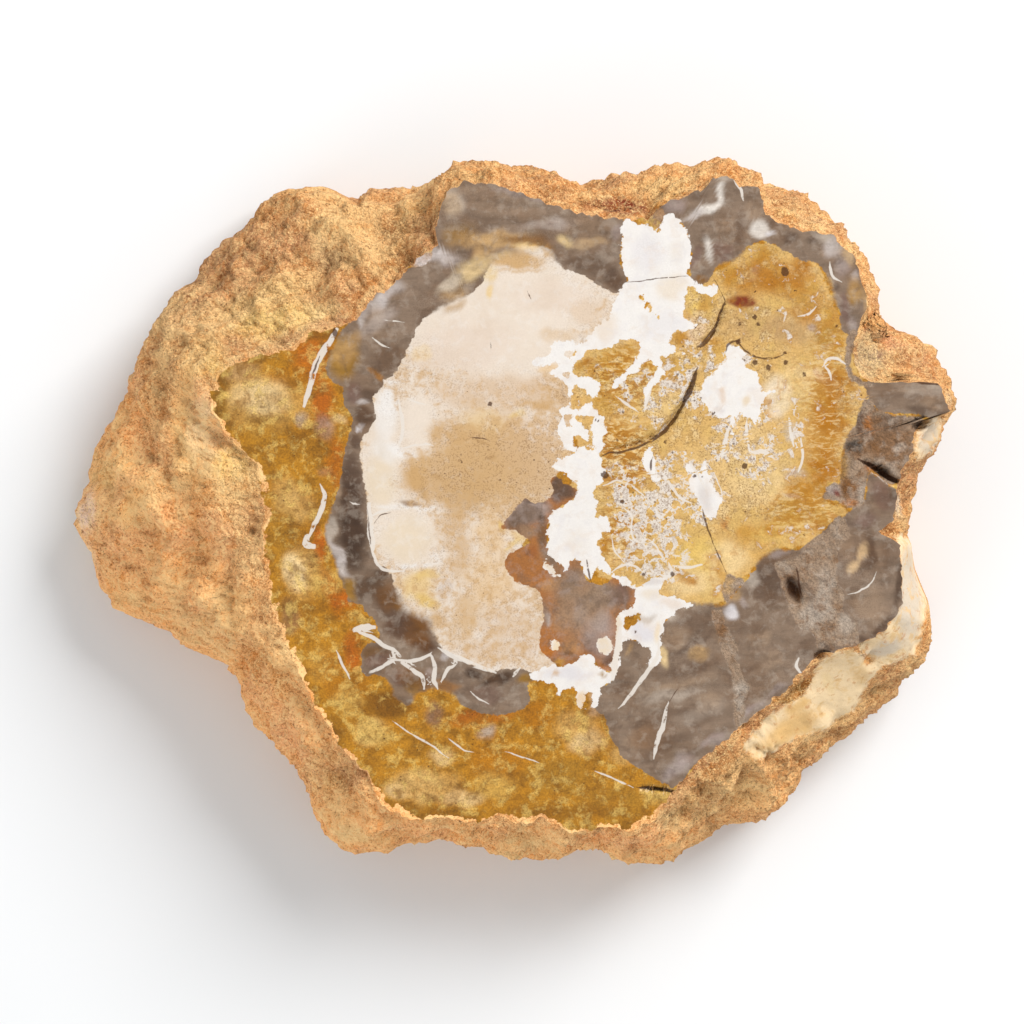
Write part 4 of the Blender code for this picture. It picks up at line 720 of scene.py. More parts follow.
# White veins, dark cracks, and dark specks (x, y, radius)
PALE_VEINS = (
    Stroke(path(-35.2, 36.2, -36.5, 34, -38.5, 31, -39.6, 28.5, -40.3, 25.5, -41.5, 21.6), 1.25, 0.45),
    Stroke(path(-38.2, 5.2, -37.5, 3.4, -38, 0.5, -39.5, -2.5, -40.6, -5), 0.9),
    Stroke(path(-40.6, -4.8, -41.2, -6.2, -40.2, -6.8), 1.3, 0.8),
    Stroke(path(-31.6, -23.6, -30, -23.2, -28, -23), 1.4, 0.5),
    Stroke(path(-30.8, -23.9, -28.2, -25, -26, -26.4, -24.2, -27.2, -22.6, -28.4), 0.8),
    Stroke(path(-24, -27.6, -23.6, -29.4, -25, -30.4, -27.2, -31.6, -29, -32.2), 0.75),
    Stroke(path(-24.4, -29.4, -21, -29.8, -18.2, -29.4, -16.4, -28.4), 0.7),
    Stroke(path(-22.4, -30, -20, -31.4, -18, -33, -17.6, -35), 0.9),
    Stroke(path(-16.2, -28.6, -15.4, -31, -15.6, -33.6, -15, -35), 0.85),
    Stroke(path(-14, -33.6, -13, -31.6, -11.4, -30.6), 0.7),
    Stroke(path(-14.4, -27.4, -12, -28.8, -9.4, -29.6, -7, -30.8, -3.6, -32), 1),
    Stroke(path(0.4, -32.6, 1.4, -31.4), 0.8), Stroke(path(-35, -28, -34.2, -30, -32.6, -33), 0.5),
    Stroke(path(-8, -36.2, -6.6, -37.4, -5, -38.2), 0.4),
    Stroke(path(-23.6, -42, -20, -44.4, -16.6, -46.4, -13, -49), 0.35),
    Stroke(path(-12.6, -45.4, -10, -47.4, -8, -48), 0.3), Stroke(path(-1, -48, 2, -49, 5, -50), 0.3),
    Stroke(path(17, -52, 20, -53.2, 24, -55), 0.35),
    Stroke(path(-28.6, 1.2, -28.4, -2, -28.2, -5, -27.8, -7.4), 1.2, 0.6),
    Stroke(path(-28.2, -0.8, -26.6, 0, -24.6, 0.4), 0.5),
    Stroke(path(-28.2, -7, -27.2, -10, -25.6, -11.6, -22, -11.8), 0.6),
    Stroke(path(29.3, -26, 29.2, -28.4, 28, -30.6, 26, -33.4, 24, -36.2, 21.6, -39), 0.9, 0.2),
    Stroke(path(21.6, -23.6, 21.2, -26.6, 20.6, -30, 20.2, -33), 1.1, 0.6),
    Stroke(path(31.2, -38.4, 30.6, -41, 30, -43.4, 29, -46.4, 28.4, -49), 0.9, 0.2),
    Stroke(path(32.6, -10.8, 35, -11.2, 37.6, -10.6), 0.7),
    Stroke(path(31.4, -10.4, 32, -12, 31, -13, 29.8, -12.6), 0.7),
    Stroke(path(30, 8, 31.6, 5.6, 33.5, 3, 35.4, 2), 0.55), Stroke(path(35.5, 10, 37, 7.8, 38.6, 5), 0.55),
    Stroke(path(40.6, 7.4, 41.6, 5, 42.2, 2.6), 0.28),
    Stroke(path(27, -12.8, 24.6, -10.8, 22.4, -10.6, 20, -12), 0.44),
    Stroke(path(22.6, 0.6, 24, -1, 23.8, -3.4, 24.6, -5.6, 27, -6.2), 0.39),
    Stroke(path(24, -6.4, 26.6, -5.4, 28.6, -6.6, 30, -9), 0.44),
    Stroke(path(28.6, 0.6, 29.6, -1.2, 31, 0, 32, 1), 0.44),
    Stroke(path(20, -5, 20.4, -7.6, 22, -9.6), 0.33),
    Stroke(path(21.4, 4.4, 23.4, 5.6, 24.4, 5, 26, 3.6, 27, 2), 0.33),
    Stroke(path(18.6, 5.4, 21, 6.4, 22.6, 5.2), 0.39), Stroke(path(27.8, 24.4, 27, 22.4, 26.6, 20.6), 0.6),
    Stroke(path(21, 23, 23, 21.6, 25, 20.2), 0.5), Stroke(path(43.6, 17.4, 42.6, 14, 42, 11), 0.7),
    Stroke(path(47, 18.4, 47, 15, 47.4, 12.6), 0.6), Stroke(path(48, 12, 50.4, 12, 52, 11), 1),
    Stroke(path(55.4, 19, 55.8, 16, 56.4, 13), 0.6), Stroke(path(57.8, 14.4, 58.2, 11, 57.4, 8.4), 0.6),
    Stroke(path(62.4, 29.4, 63.2, 30.6, 65, 30.8, 66.4, 29.8), 0.6),
    Stroke(path(62.6, 29, 63.4, 28, 63.8, 26.8), 0.6),
    Stroke(path(57.6, 39.2, 59.4, 39.6, 60.6, 40.8), 0.45),
    Stroke(path(72.8, -12.2, 71.8, -14.2, 70, -15.6, 67.6, -16.4), 0.35),
    Stroke(path(44.6, 66, 45.8, 64.4, 46.2, 62.6), 0.5), Stroke(path(63.6, 49.6, 64, 47.4, 65.6, 46.2), 0.5),
    Stroke(path(-32, 1.8, -31, 1.6), 0.5), Stroke(path(-27.6, 34.6, -26, 33.4, -25, 33), 0.35),
    Stroke(path(-25.4, 38.4, -22, 38), 0.3), Stroke(path(-22.6, 22, -22, 19, -21.9, 16, -22.6, 13.4), 0.7),
    Stroke(path(-22, 12.8, -18, 13.6, -16.2, 13.4), 0.5), Stroke(path(-20.6, 22.6, -17, 21.4), 0.3),
    Stroke(path(57.2, -29.6, 57, -31, 58, -32.4), 0.7),
)
DARK_CRACKS = (
    Stroke(path(37, 28.6, 36.2, 26, 35, 23.2, 34.2, 21.4), 1.1, 0.15),
    Stroke(path(34.8, 22.6, 33.4, 20, 32, 17.8, 30, 15.8, 28, 14.4, 26.6, 13.8), 0.75, 0.5),
    Stroke(path(27.4, 14, 25.2, 13, 22.6, 12.2, 19.6, 11.8, 18, 11.2), 0.5, 0.3),
    Stroke(path(42.6, 42, 41.8, 40, 41.2, 38.4, 40.6, 36.8), 0.5),
    Stroke(path(41, 37.4, 39.8, 35.4, 38.4, 33.8, 37.6, 33.2), 0.95, 0.4),
    Stroke(path(42.9, 32.4, 43, 33.4, 44.2, 34, 45.2, 34.4), 0.4),
    Stroke(path(45.2, 34.4, 46.4, 32.6, 48, 31.4, 49.6, 30.8, 52, 30.7, 54.6, 31.6), 0.4),
    Stroke(path(38.2, 0.2, 39, -2.8, 40, -5.6), 0.4), Stroke(path(40, -5.6, 41.4, -9, 42.8, -12), 0.25),
    Stroke(path(28, 10.6, 27.8, 8.6), 0.45), Stroke(path(15, -10, 15.4, -12.4, 15.8, -13.8), 0.35),
    Stroke(path(-38.6, 30.8, -39.6, 28.4, -40, 27), 0.35), Stroke(path(-35.6, 36.6, -35.4, 35.2), 1),
    Stroke(path(23, 46, 26, 46.2, 30, 46.8, 35, 47.2), 0.22),
    Stroke(path(-28.9, 0.2, -28.6, -3, -28.3, -6), 0.2),
    Stroke(path(-27.4, -2, -26.4, -0.6, -24.6, -0.2), 0.18),
    Stroke(path(25.4, -55.1, 29, -55.4, 33.6, -56.2), 0.8), Stroke(path(31.6, -37.8, 33, -35.6), 0.2),
    Stroke(path(69.6, 10.4, 73, 8.6, 76, 6.6, 79.8, 5), 1.1),
    Stroke(path(79.6, 26.2, 82.4, 25.8, 86, 25.4), 0.5), Stroke(path(40.2, 47, 42.8, 41.8), 0.12),
    Stroke(path(3.2, 43.8, 3.6, 43), 0.25), Stroke(path(57, -11.4, 57.4, -14, 58, -16.6), 0.4),
    Stroke(path(-5.4, 14.6, -7.8, 14.9), 0.25),
)
DARK_SPOTS = (
    (54.5, 48.1, 0.85), (48.5, 39, 0.45), (49.2, 37.6, 0.55), (45.5, 37.5, 0.35), (54.8, 30, 0.6),
    (54.6, 31.8, 0.4), (51.2, 29, 0.55), (48.6, 30, 0.5), (58.5, 27.6, 0.55), (55.6, 27.8, 0.3),
    (46.5, 9.3, 0.6), (40.2, 19.8, 0.35), (49.6, 16, 0.4), (37.6, 22.8, 0.35), (18.6, 7.4, 0.8),
    (17, 18.4, 0.45), (45.2, 34, 0.5), (-4.4, 21.6, 0.35), (63.9, 38.2, 0.35), (64.9, 37.2, 0.35),
    (36.6, 7.2, 0.35), (38, 7, 0.3), (24.8, -24, 0.35), (30.8, 14, 0.4), (58.4, -4.6, 0.35),
    (32, -12.4, 0.5), (26.4, -12.4, 0.5), (22, 2, 0.4), (48.6, 44.2, 0.35), (56.6, 44.2, 0.4),
)


def rounded(outline: Outline, closed: bool = True, cuts: int = 4) -> np.ndarray:
    """Draws a smooth line through an outline's points.

    Args:
        outline: The points, in order.
        closed: Whether the line joins up at its ends.
        cuts: How many points stand for each stretch between two points.

    Returns:
        The points of the smooth line, one a row.
    """
    points = np.array(outline, float)
    if closed:
        before, after, last = np.roll(points, 1, 0), np.roll(points, -1, 0), np.roll(points, -2, 0)
    else:
        padded = np.vstack((2 * points[0] - points[1], points, 2 * points[-1] - points[-2]))
        before, points, after, last = padded[:-3], padded[1:-2], padded[2:-1], padded[3:]
    rows = []
    for share in np.arange(cuts) / cuts:
        bend = 2 * before - 5 * points + 4 * after - last
        twist = 3 * points - before - 3 * after + last
        rows.append(points + 0.5 * share * ((after - before) + share * (bend + share * twist)))
    line = np.stack(rows, 1).reshape(-1, 2)
    return line if closed else np.vstack((line, np.array(outline[-1], float)))


def beside(places: np.ndarray, start: np.ndarray, end: np.ndarray) -> tuple[np.ndarray, ...]:
    """Measures places against one straight stretch of a line.

    Args:
        places: Points in millimetres, one a row.
        start: Where the stretch starts.
        end: Where it ends.

    Returns:
        The stretch as a vector, the places as seen from its start, how far along it the nearest point lies
        for each place, and the distance to that point.
    """
    edge, away = end - start, places - start
    share = np.clip(away @ edge / max(edge @ edge, 1e-9), 0.0, 1.0)
    return edge, away, share, np.hypot(*(away - share[:, None] * edge).T)


def signed_distance(places: np.ndarray, outline: Outline, far: float = 6.0) -> np.ndarray:
    """Measures how far places lie from an outline, below zero inside it.

    Args:
        places: Points in millimetres, one a row.
        outline: The outline's points, in order.
        far: The distance beyond which nothing is measured.

    Returns:
        The distance of each place.
    """
    line = rounded(outline)
    near = np.all((places > line.min(0) - far) & (places < line.max(0) + far), axis=1)
    here = places[near]
    best, inside = np.full(len(here), far), np.zeros(len(here), bool)
    for start, end in zip(line, np.roll(line, -1, 0)):
        edge, away, _, distance = beside(here, start, end)
        best = np.minimum(best, distance)
        spans = (start[1] > here[:, 1]) != (end[1] > here[:, 1])
        rise = edge[1] if abs(edge[1]) > 1e-9 else 1e-9
        inside ^= spans & (away[:, 0] < edge[0] * away[:, 1] / rise)
    result = np.full(len(places), far)
    result[near] = np.where(inside, -best, best)
    return result


def stroke_fields(places: np.ndarray, strokes: tuple[Stroke, ...]) -> dict[str, np.ndarray]:
    """Measures where places lie beside the nearest of some strokes.

    Args:
        places: Points in millimetres, one a row.
        strokes: The strokes.

    Returns:
        The distance to one side ("side"), the distance in any direction ("reach") and the stroke's half width
        there ("half").
    """
    side, half = np.full(len(places), STROKE_FAR), np.zeros(len(places))
    reach, pitch = side.copy(), STROKE_PITCH
    for stroke in strokes:
        line = rounded(stroke.path, closed=False)
        wander = [[noise.noise(Vector((x * pitch, y * pitch, k))) for k in (3.1, 9.7)] for x, y in line[1:-1]]
        line[1:-1] += STROKE_SWAY * np.array(wander)
        near = np.flatnonzero(np.all((places > line.min(0) - 2) & (places < line.max(0) + 2), axis=1))
        here = places[near]
        count = len(line) - 1
        for index, (start, end) in enumerate(zip(line[:-1], line[1:])):
            edge, away, share, distance = beside(here, start, end)
            closer = distance < reach[near]
            chosen = near[closer]
            across = (edge[0] * away[:, 1] - edge[1] * away[:, 0]) / math.hypot(*edge)
            swell = np.sin(math.pi * (index + share) / count)
            width = stroke.width * (stroke.tip + (1 - stroke.tip) * np.sqrt(np.clip(swell, 0, 1))) / 2
            side[chosen], reach[chosen], half[chosen] = across[closer], distance[closer], width[closer]
    return {"side": side, "reach": reach, "half": half}


def tint(places: np.ndarray, zone: Zone) -> np.ndarray:
    """Lays a zone's touches over its ground colour.

    Args:
        places: Points in millimetres, one a row.
        zone: The zone.

    Returns:
        The colour of each place as linear light, with full cover.
    """
    colour = np.tile(np.array(zone.ground.light()), (len(places), 1))
    for touch in zone.touches:
        cover = touch.cover(places)[:, None]
        colour = colour * (1 - cover) + np.array(touch.tone.light()) * cover
    return np.hstack((colour, np.ones((len(places), 1))))


def share_of(places: np.ndarray, shares: tuple[Touch, ...], ground: float) -> np.ndarray:
    """Lays touches that carry numbers over a plain ground.

    Args:
        places: Points in millimetres, one a row.
        shares: The touches, in the order they are laid.
        ground: The number where no touch reaches.

    Returns:
        The number at each place.
    """
    result = np.full(len(places), ground)
    for touch in shares:
        cover = touch.cover(places)
        result = result * (1 - cover) + touch.tone * cover
    return result


@dataclass
class Rings:
    """A closed skin of rings, from the middle of the base up the flank to the middle of the face."""

    rings: list[np.ndarray] = field(default_factory=list)

    def starts(self) -> list[int]:
        """The number of the first vertex of each ring."""
        return [0, *np.cumsum([len(ring) for ring in self.rings])[:-1].tolist()]

    def faces(self) -> list[tuple[int, ...]]:
        """Joins each ring to the next, whether it has as many points, half as many or twice as many.

        Returns:
            The corners of each face, counted over all rings.
        """
        result, starts = [], self.starts()
        for number in range(len(self.rings) - 1):
            a, b = starts[number], starts[number + 1]
            m, n = len(self.rings[number]), len(self.rings[number + 1])
            if m == 1:
                result += [(a, b + (i + 1) % n, b + i) for i in range(n)]
            elif n == 1:
                result += [(a + i, a + (i + 1) % m, b) for i in range(m)]
            elif m == n:
                result += [(a + i, a + (i + 1) % m, b + (i + 1) % m, b + i) for i in range(m)]
            elif m > n:
                for i in range(n):
                    left, mid, right, after = a + 2 * i, a + 2 * i + 1, a + (2 * i + 2) % m, b + (i + 1) % n
                    result += [(left, mid, b + i), (mid, right, after), (mid, after, b + i)]
            else:
                for i in range(m):
                    left, mid, right, after = b + 2 * i, b + 2 * i + 1, b + (2 * i + 2) % n, a + (i + 1) % m
                    result += [(a + i, mid, left), (a + i, after, mid), (after, right, mid)]
        return result


@dataclass
class PetrifiedSlice:
    """The stone: its form, its markings and its finish.

    The form follows the solid part: a loft about the heart from the rim down the flank to the girth, a
    rounded under-edge and a flat base. It adds the finer relief of the rind and the small recesses of the
    face. Sizes are in millimetres. Each pair in lumps, ridges, grains and jags is the size and the height of
    a noise, and ledge is a step, its height, how far it wanders and over what size.
    """

    thickness: float = 34.0
    girth_height: float = 9.0
    girth_spread: float = 1.02
    base_inset: float = 4.5
    rim_slope: float = math.radians(35)
    sectors: int = 720
    flank_rings: int = 42
    under_rings: int = 9
    face_step: float = 0.6
    base_step: float = 6.0
    base_outward: float = -3.0
    rim_fade: float = 3.0
    grain_fade: float = 0.8
    girth_calm: float = 0.35
    base_blur: float = math.radians(7)
    face_clearance: float = 0.25
    face_fall: float = 0.12
    disc_thinning: float = 1.7
    disc_ease: float = 0.96
    heart: Point = (12.0, 2.0)
    noise_place: Vector = field(default_factory=lambda: Vector((3.7, 8.1, 5.3)))
    lumps: tuple[Point, ...] = ((19.0, 1.9), (4.4, 0.9))
    ridges: tuple[Point, ...] = ((11.0, 1.1), (6.5, 0.6))
    grains: tuple[Point, ...] = ((2.3, 0.5), (1.2, 0.4))
    grain_sink: float = 0.3
    jags: tuple[Point, ...] = ((1.9, 0.8), (0.8, 0.4))
    jag_fade: float = 2.5
    spall_foot: float = 17.0
    spall_fade: float = 0.4
    ledge: tuple[float, float, float, float] = (4.6, 0.7, 1.6, 30.0)
    wall_calm: float = 0.9
    under_grain: float = 0.4
    recess_zone: float = 14.0
    druse_pitch: float = 1.3
    druse_depth: Point = (0.1, 0.3)
    druse_edge: float = 1.6
    brush_size: float = 3.2
    brush_sway: float = 1.1

    def reach_of(self, outline: Outline, spread: float = 1.0) -> tuple[np.ndarray, np.ndarray]:
        """Turns an outline into distances from the heart.

        Args:
            outline: The outline's points.
            spread: How much the outline is scaled up.

        Returns:
            The angles and the distances, sorted and wrapped at both ends.
        """
        points = np.array(outline) * spread - np.array(self.heart)
        angles = np.arctan2(points[:, 1], points[:, 0])
        order = np.argsort(angles)
        angles, reach = angles[order], np.hypot(points[:, 0], points[:, 1])[order]
        return np.concatenate((angles - 2 * math.pi, angles, angles + 2 * math.pi)), np.tile(reach, 3)

    def ahead_by(self, reach: float, angle: float) -> Point:
        """The place at some distance from the heart, in the direction of an angle."""
        return self.heart[0] + reach * math.cos(angle), self.heart[1] + reach * math.sin(angle)

    def relief(self, x: float, y: float, z: float) -> tuple[float, float]:
        """Works out how far the rind stands out at a place.

        Args:
            x: Place to the right, in millimetres.
            y: Place up the picture.
            z: Height.

        Returns:
            The relief that the solid part has, and the finer relief on top of it.
        """
        place = Vector((x, y, z))
        rough = sum(height * noise.noise(place / size + self.noise_place) for size, height in self.lumps)
        for size, height in self.ridges:
            rough += height * (1.0 - 4.0 * abs(noise.noise(place / size - self.noise_place)))
        step, height, wander, drift_size = self.ledge
        drift = noise.noise(Vector((x, y, 0.0)) / drift_size + self.noise_place)
        rough += height * (4.0 * abs((z / step + wander * drift) % 1.0 - 0.5) - 1.0)
        fine = -self.grain_sink
        for size, height in self.grains:
            fine += height * (1.0 - 3.6 * abs(noise.noise(place / size + 2 * self.noise_place)))
        calm = 1.0
        for cx, cy, radius in SMOOTH_WALLS:
            near = ((x - cx) ** 2 + (y - cy) ** 2) / (radius * radius)
            calm *= 1.0 - self.wall_calm * math.exp(-near ** 2)
        swell = sum(h * math.exp(-((x - a) ** 2 + (y - b) ** 2) / (r * r)) for a, b, r, h in SWELLS)
        return rough * calm + swell, fine * calm

    def column(
        self, angle: float, rim: float, jag: float, girth: float, base: float
    ) -> list[tuple[float, ...]]:
        """Draws the stone's edge in one direction from the heart.

        Args:
            angle: The direction.
            rim: Distance to the rim of the face.
            jag: How far the broken edge of the face stands out beyond that.
            girth: Distance to the girth.
            base: Distance to the edge of the base.

        Returns:
            Points from the rim down to the base, each with its relief at the end.
        """
        width, drop = girth - rim, self.thickness - self.girth_height
        points = []
        for step in range(self.flank_rings):
            lean = self.rim_slope + (math.pi / 2 - self.rim_slope) * step / (self.flank_rings - 1)
            out = (math.sin(lean) - math.sin(self.rim_slope)) / (1 - math.sin(self.rim_slope))
            down = 1 - math.cos(lean) / math.cos(self.rim_slope)
            reach, z = rim + out * width, self.thickness - down * drop
            coarse, fine = self.relief(*self.ahead_by(reach, angle), z)
            away = math.hypot(out * width, down * drop)
            lift = coarse * (1 - (1 - self.girth_calm) * down ** 3) * min(1.0, away / self.rim_fade)
            lift += fine * min(1.0, away / self.grain_fade) * (1 - 0.5 * down ** 3)
            normal = Vector((math.sin(lean) * drop, math.cos(lean) * width)).normalized()
            reach += lift * normal[0] + jag * max(0.0, 1 - away / self.jag_fade) ** 2
            if step:
                clearance = min(self.face_clearance, self.face_fall * away)
                z = min(z + lift * normal[1], self.thickness - clearance)
            relief = (coarse * 0.5 + fine) * min(1.0, away / self.rim_fade)
            points.append((*self.ahead_by(reach, angle), z, relief))
        edge = points[-1]
        edge_reach = math.hypot(edge[0] - self.heart[0], edge[1] - self.heart[1])
        for step in range(1, self.under_rings + 1):
            lean = math.pi / 2 * step / self.under_rings
            reach = edge_reach + (base - edge_reach) * (1 - math.cos(lean))
            z = edge[2] * (1 - math.sin(lean))
            coarse, fine = self.relief(*self.ahead_by(reach, angle), z)
            reach += (self.girth_calm * coarse + self.under_grain * fine) * math.cos(lean)
            points.append((*self.ahead_by(reach, angle), z, fine))
        return points

    def disc(self, edge: np.ndarray, step: float) -> list[np.ndarray]:
        """Fills a flat edge with rings towards the heart, with fewer points nearer the middle.

        Args:
            edge: The points of the edge, in the plane.
            step: Greatest distance between rings.

        Returns:
            The rings from just inside the edge to the single point in the middle.
        """
        middle = np.array(self.heart)
        away = edge - middle
        count = int(np.hypot(*away.T).max() / step)
        rings, ratio = [], 1
        for number in range(count - 1, 0, -1):
            share = number / count
            if share * self.disc_thinning < 1 / ratio and (len(edge) // ratio) % 2 == 0:
                ratio *= 2
            rings.append(middle + share ** self.disc_ease * away[::ratio])
        return [*rings, middle[None, :]]

    def recess(self, places: np.ndarray, heights: np.ndarray) -> np.ndarray:
        """Sinks the fissures, the pits and the gritty druse into the skin, and raises the nodule.

        Args:
            places: Points in millimetres, one a row.
            heights: Their heights.

        Returns:
            The changed heights.
        """
        result = heights.copy()
        top = heights > self.thickness - self.recess_zone
        druse = np.min([signed_distance(places, outline) for outline in DRUSE.outlines], axis=0)
        pitch = self.druse_pitch
        grit = np.array([noise.noise(Vector((x * pitch, y * pitch, 0.5))) for x, y in places[top]])
        least, more = self.druse_depth
        depth = least + more * np.clip(grit + 0.3, 0, 1)
        result[top] -= depth * np.clip(-druse[top] / self.druse_edge, 0, 1)
        for points, width, deep in FISSURES:
            line = rounded(points, closed=False)
            for index, (start, end) in enumerate(zip(line[:-1], line[1:])):
                swell = 0.25 + 0.75 * math.sin(math.pi * (index + 0.5) / (len(line) - 1))
                near = beside(places, start, end)[-1] / (width / 2 * swell)
                cut = self.thickness - deep * swell * np.sqrt(np.clip(1 - near ** 2, 0, 1))
                result = np.where(top & (near < 1), np.minimum(result, cut), result)
        for x, y, z, length, width, deep, turn in PITS:
            near = across_oval(places, (x, y), length / 2, width / 2, turn)
            cut = z - deep * np.sqrt(np.clip(1 - near ** 2, 0, 1))
            result = np.where(top & (near < 1), np.minimum(result, cut), result)
        x, y, radius, crest = NODULE
        near = np.hypot(*(places - (x, y)).T)
        ball = crest - radius + np.sqrt(np.clip(radius ** 2 - near ** 2, 0, None))
        return np.where(top & (near < radius * 0.98), np.maximum(result, ball), result)

    def skin(self) -> tuple[Rings, np.ndarray, np.ndarray]:
        """Builds the rings of the whole skin.

        Returns:
            The rings, each vertex's distance outwards from the polished or sawn face, and its relief.
        """
        rim_angles, rim_reach = self.reach_of(RIM)
        girth_angles, girth_reach = self.reach_of(GIRTH, self.girth_spread)
        columns = []
        for sector in range(self.sectors):
            angle = 2 * math.pi * sector / self.sectors - math.pi
            rim = float(np.interp(angle, rim_angles, rim_reach))
            place = Vector((math.cos(angle), math.sin(angle), 0.0)) * rim
            girth = max(float(np.interp(angle, girth_angles, girth_reach)), rim + 1.0)
            jag = sum(height * noise.noise(place / size) for size, height in self.jags)
            around = np.linspace(angle - self.base_blur, angle + self.base_blur, 9)
            base = float(np.interp(around, girth_angles, girth_reach).mean()) - self.base_inset
            columns.append(self.column(angle, rim, jag, girth, base))
        edge = np.array(columns).transpose(1, 0, 2)
        rings, outward, relief = Rings(), [], []
        for ring in reversed(self.disc(edge[-1, :, :2], self.base_step)):
            rings.rings.append(np.hstack((ring, np.zeros((len(ring), 1)))))
            outward.append(np.full(len(ring), self.base_outward))
            relief.append(np.zeros(len(ring)))
        run = np.cumsum(np.linalg.norm(np.diff(edge[:, :, :3], axis=0), axis=2), axis=0)
        run = np.vstack((np.zeros((1, self.sectors)), run))
        for number in range(len(edge) - 1, -1, -1):
            rings.rings.append(edge[number, :, :3])
            outward.append(np.minimum(run[number], run[-1] - run[number]))
            relief.append(edge[number, :, 3])
        for ring in self.disc(edge[0, :, :2], self.face_step):
            rings.rings.append(np.hstack((ring, np.full((len(ring), 1), self.thickness))))
            ratio = self.sectors // len(ring)
            rim = np.linalg.norm(edge[0, ::ratio, :2] - self.heart, axis=1)[:len(ring)]
            outward.append(np.linalg.norm(ring - self.heart, axis=1) - rim)
            relief.append(np.zeros(len(ring)))
        return rings, np.concatenate(outward), np.concatenate(relief)

    def build(self) -> bpy.types.Object:
        """Makes the stone's mesh with its markings and dresses it.

        Returns:
            The finished piece.
        """
        rings, outward, relief = self.skin()
        points = np.vstack(rings.rings)
        points[:, 2] = self.recess(points[:, :2], points[:, 2])
        name = "petrified_wood_slice_stone"
        mesh = bpy.data.meshes.new(name)
        mesh.from_pydata((points * MM).tolist(), [], rings.faces())
        mesh.polygons.foreach_set("use_smooth", np.ones(len(mesh.polygons), bool))
        ends = np.zeros(2 * len(mesh.edges), np.int32)
        mesh.edges.foreach_get("vertices", ends)
        sharp = (np.abs(outward[ends.reshape(-1, 2)]) < 1e-6).all(axis=1)
        mesh.attributes.new("sharp_edge", "BOOLEAN", "EDGE").data.foreach_set("value", sharp)
        self.mark(mesh, points, outward, relief)
        mesh.materials.append(StoneFinish().build())
        stone = bpy.data.objects.new(name, mesh)
        bpy.context.scene.collection.objects.link(stone)
        return stone

    def mark(self, mesh: bpy.types.Mesh, points: np.ndarray, outward: np.ndarray, relief: np.ndarray) -> None:
        """Writes the markings on the mesh as named values that the finish reads.

        Args:
            mesh: The stone's mesh.
            points: Its vertices in millimetres.
            outward: Each vertex's distance outwards from the polished or sawn face.
            relief: Each vertex's relief.
        """
        places, size = points[:, :2], self.brush_size
        drift = [[noise.noise(Vector((x / size, y / size, k))) for k in (1.3, 7.9)] for x, y in places]
        brushed = places + self.brush_sway * np.array(drift)
        values = {
            "outward": outward,
            "relief": relief,
            "sawn": np.clip(1 - points[:, 2], 0, 1),
            "spall": np.min([signed_distance(places, outline) for outline in SPALLS], axis=0),
            "grit": share_of(brushed, GRIT, 0.5),
            "network": share_of(brushed, NETWORK, 0.0),
            "comb": share_of(brushed, COMB, 0.0),
            "softness": share_of(brushed, SOFTNESS, 0.12),
            "crusty": share_of(brushed, CRUSTY, 0.0),
            # painted light: how much the rind is brightened on the side away from the key light
            "painted_fill_light": share_of(places, PAINTED_FILL_LIGHT, 0.0),
        }
        values["spall"] += self.spall_fade * np.clip(self.spall_foot - points[:, 2], 0, None)
        spots = [np.hypot(places[:, 0] - x, places[:, 1] - y) - radius for x, y, radius in DARK_SPOTS]
        values["dark_spot"] = np.minimum(np.min(spots, axis=0), 4.0)
        for zone in ZONES[1:]:
            edge = np.min([signed_distance(places, outline) for outline in zone.outlines], axis=0)
            for hole in zone.holes:
                edge = np.maximum(edge, -signed_distance(places, hole))
            values[zone.name + "_edge"] = edge
        for name, strokes in (("pale", PALE_VEINS), ("dark", DARK_CRACKS)):
            for part, numbers in stroke_fields(places, strokes).items():
                values[f"{name}_{part}"] = numbers
        for name, numbers in values.items():
            layer = mesh.attributes.new(name, "FLOAT", "POINT")
            layer.data.foreach_set("value", np.ascontiguousarray(numbers))
        for zone in (*ZONES, RIND, SPALL_TINT):
            colours = tint(brushed, zone)
            layer = mesh.attributes.new(zone.name + "_tint", "FLOAT_COLOR", "POINT")
            layer.data.foreach_set("color", colours.ravel())


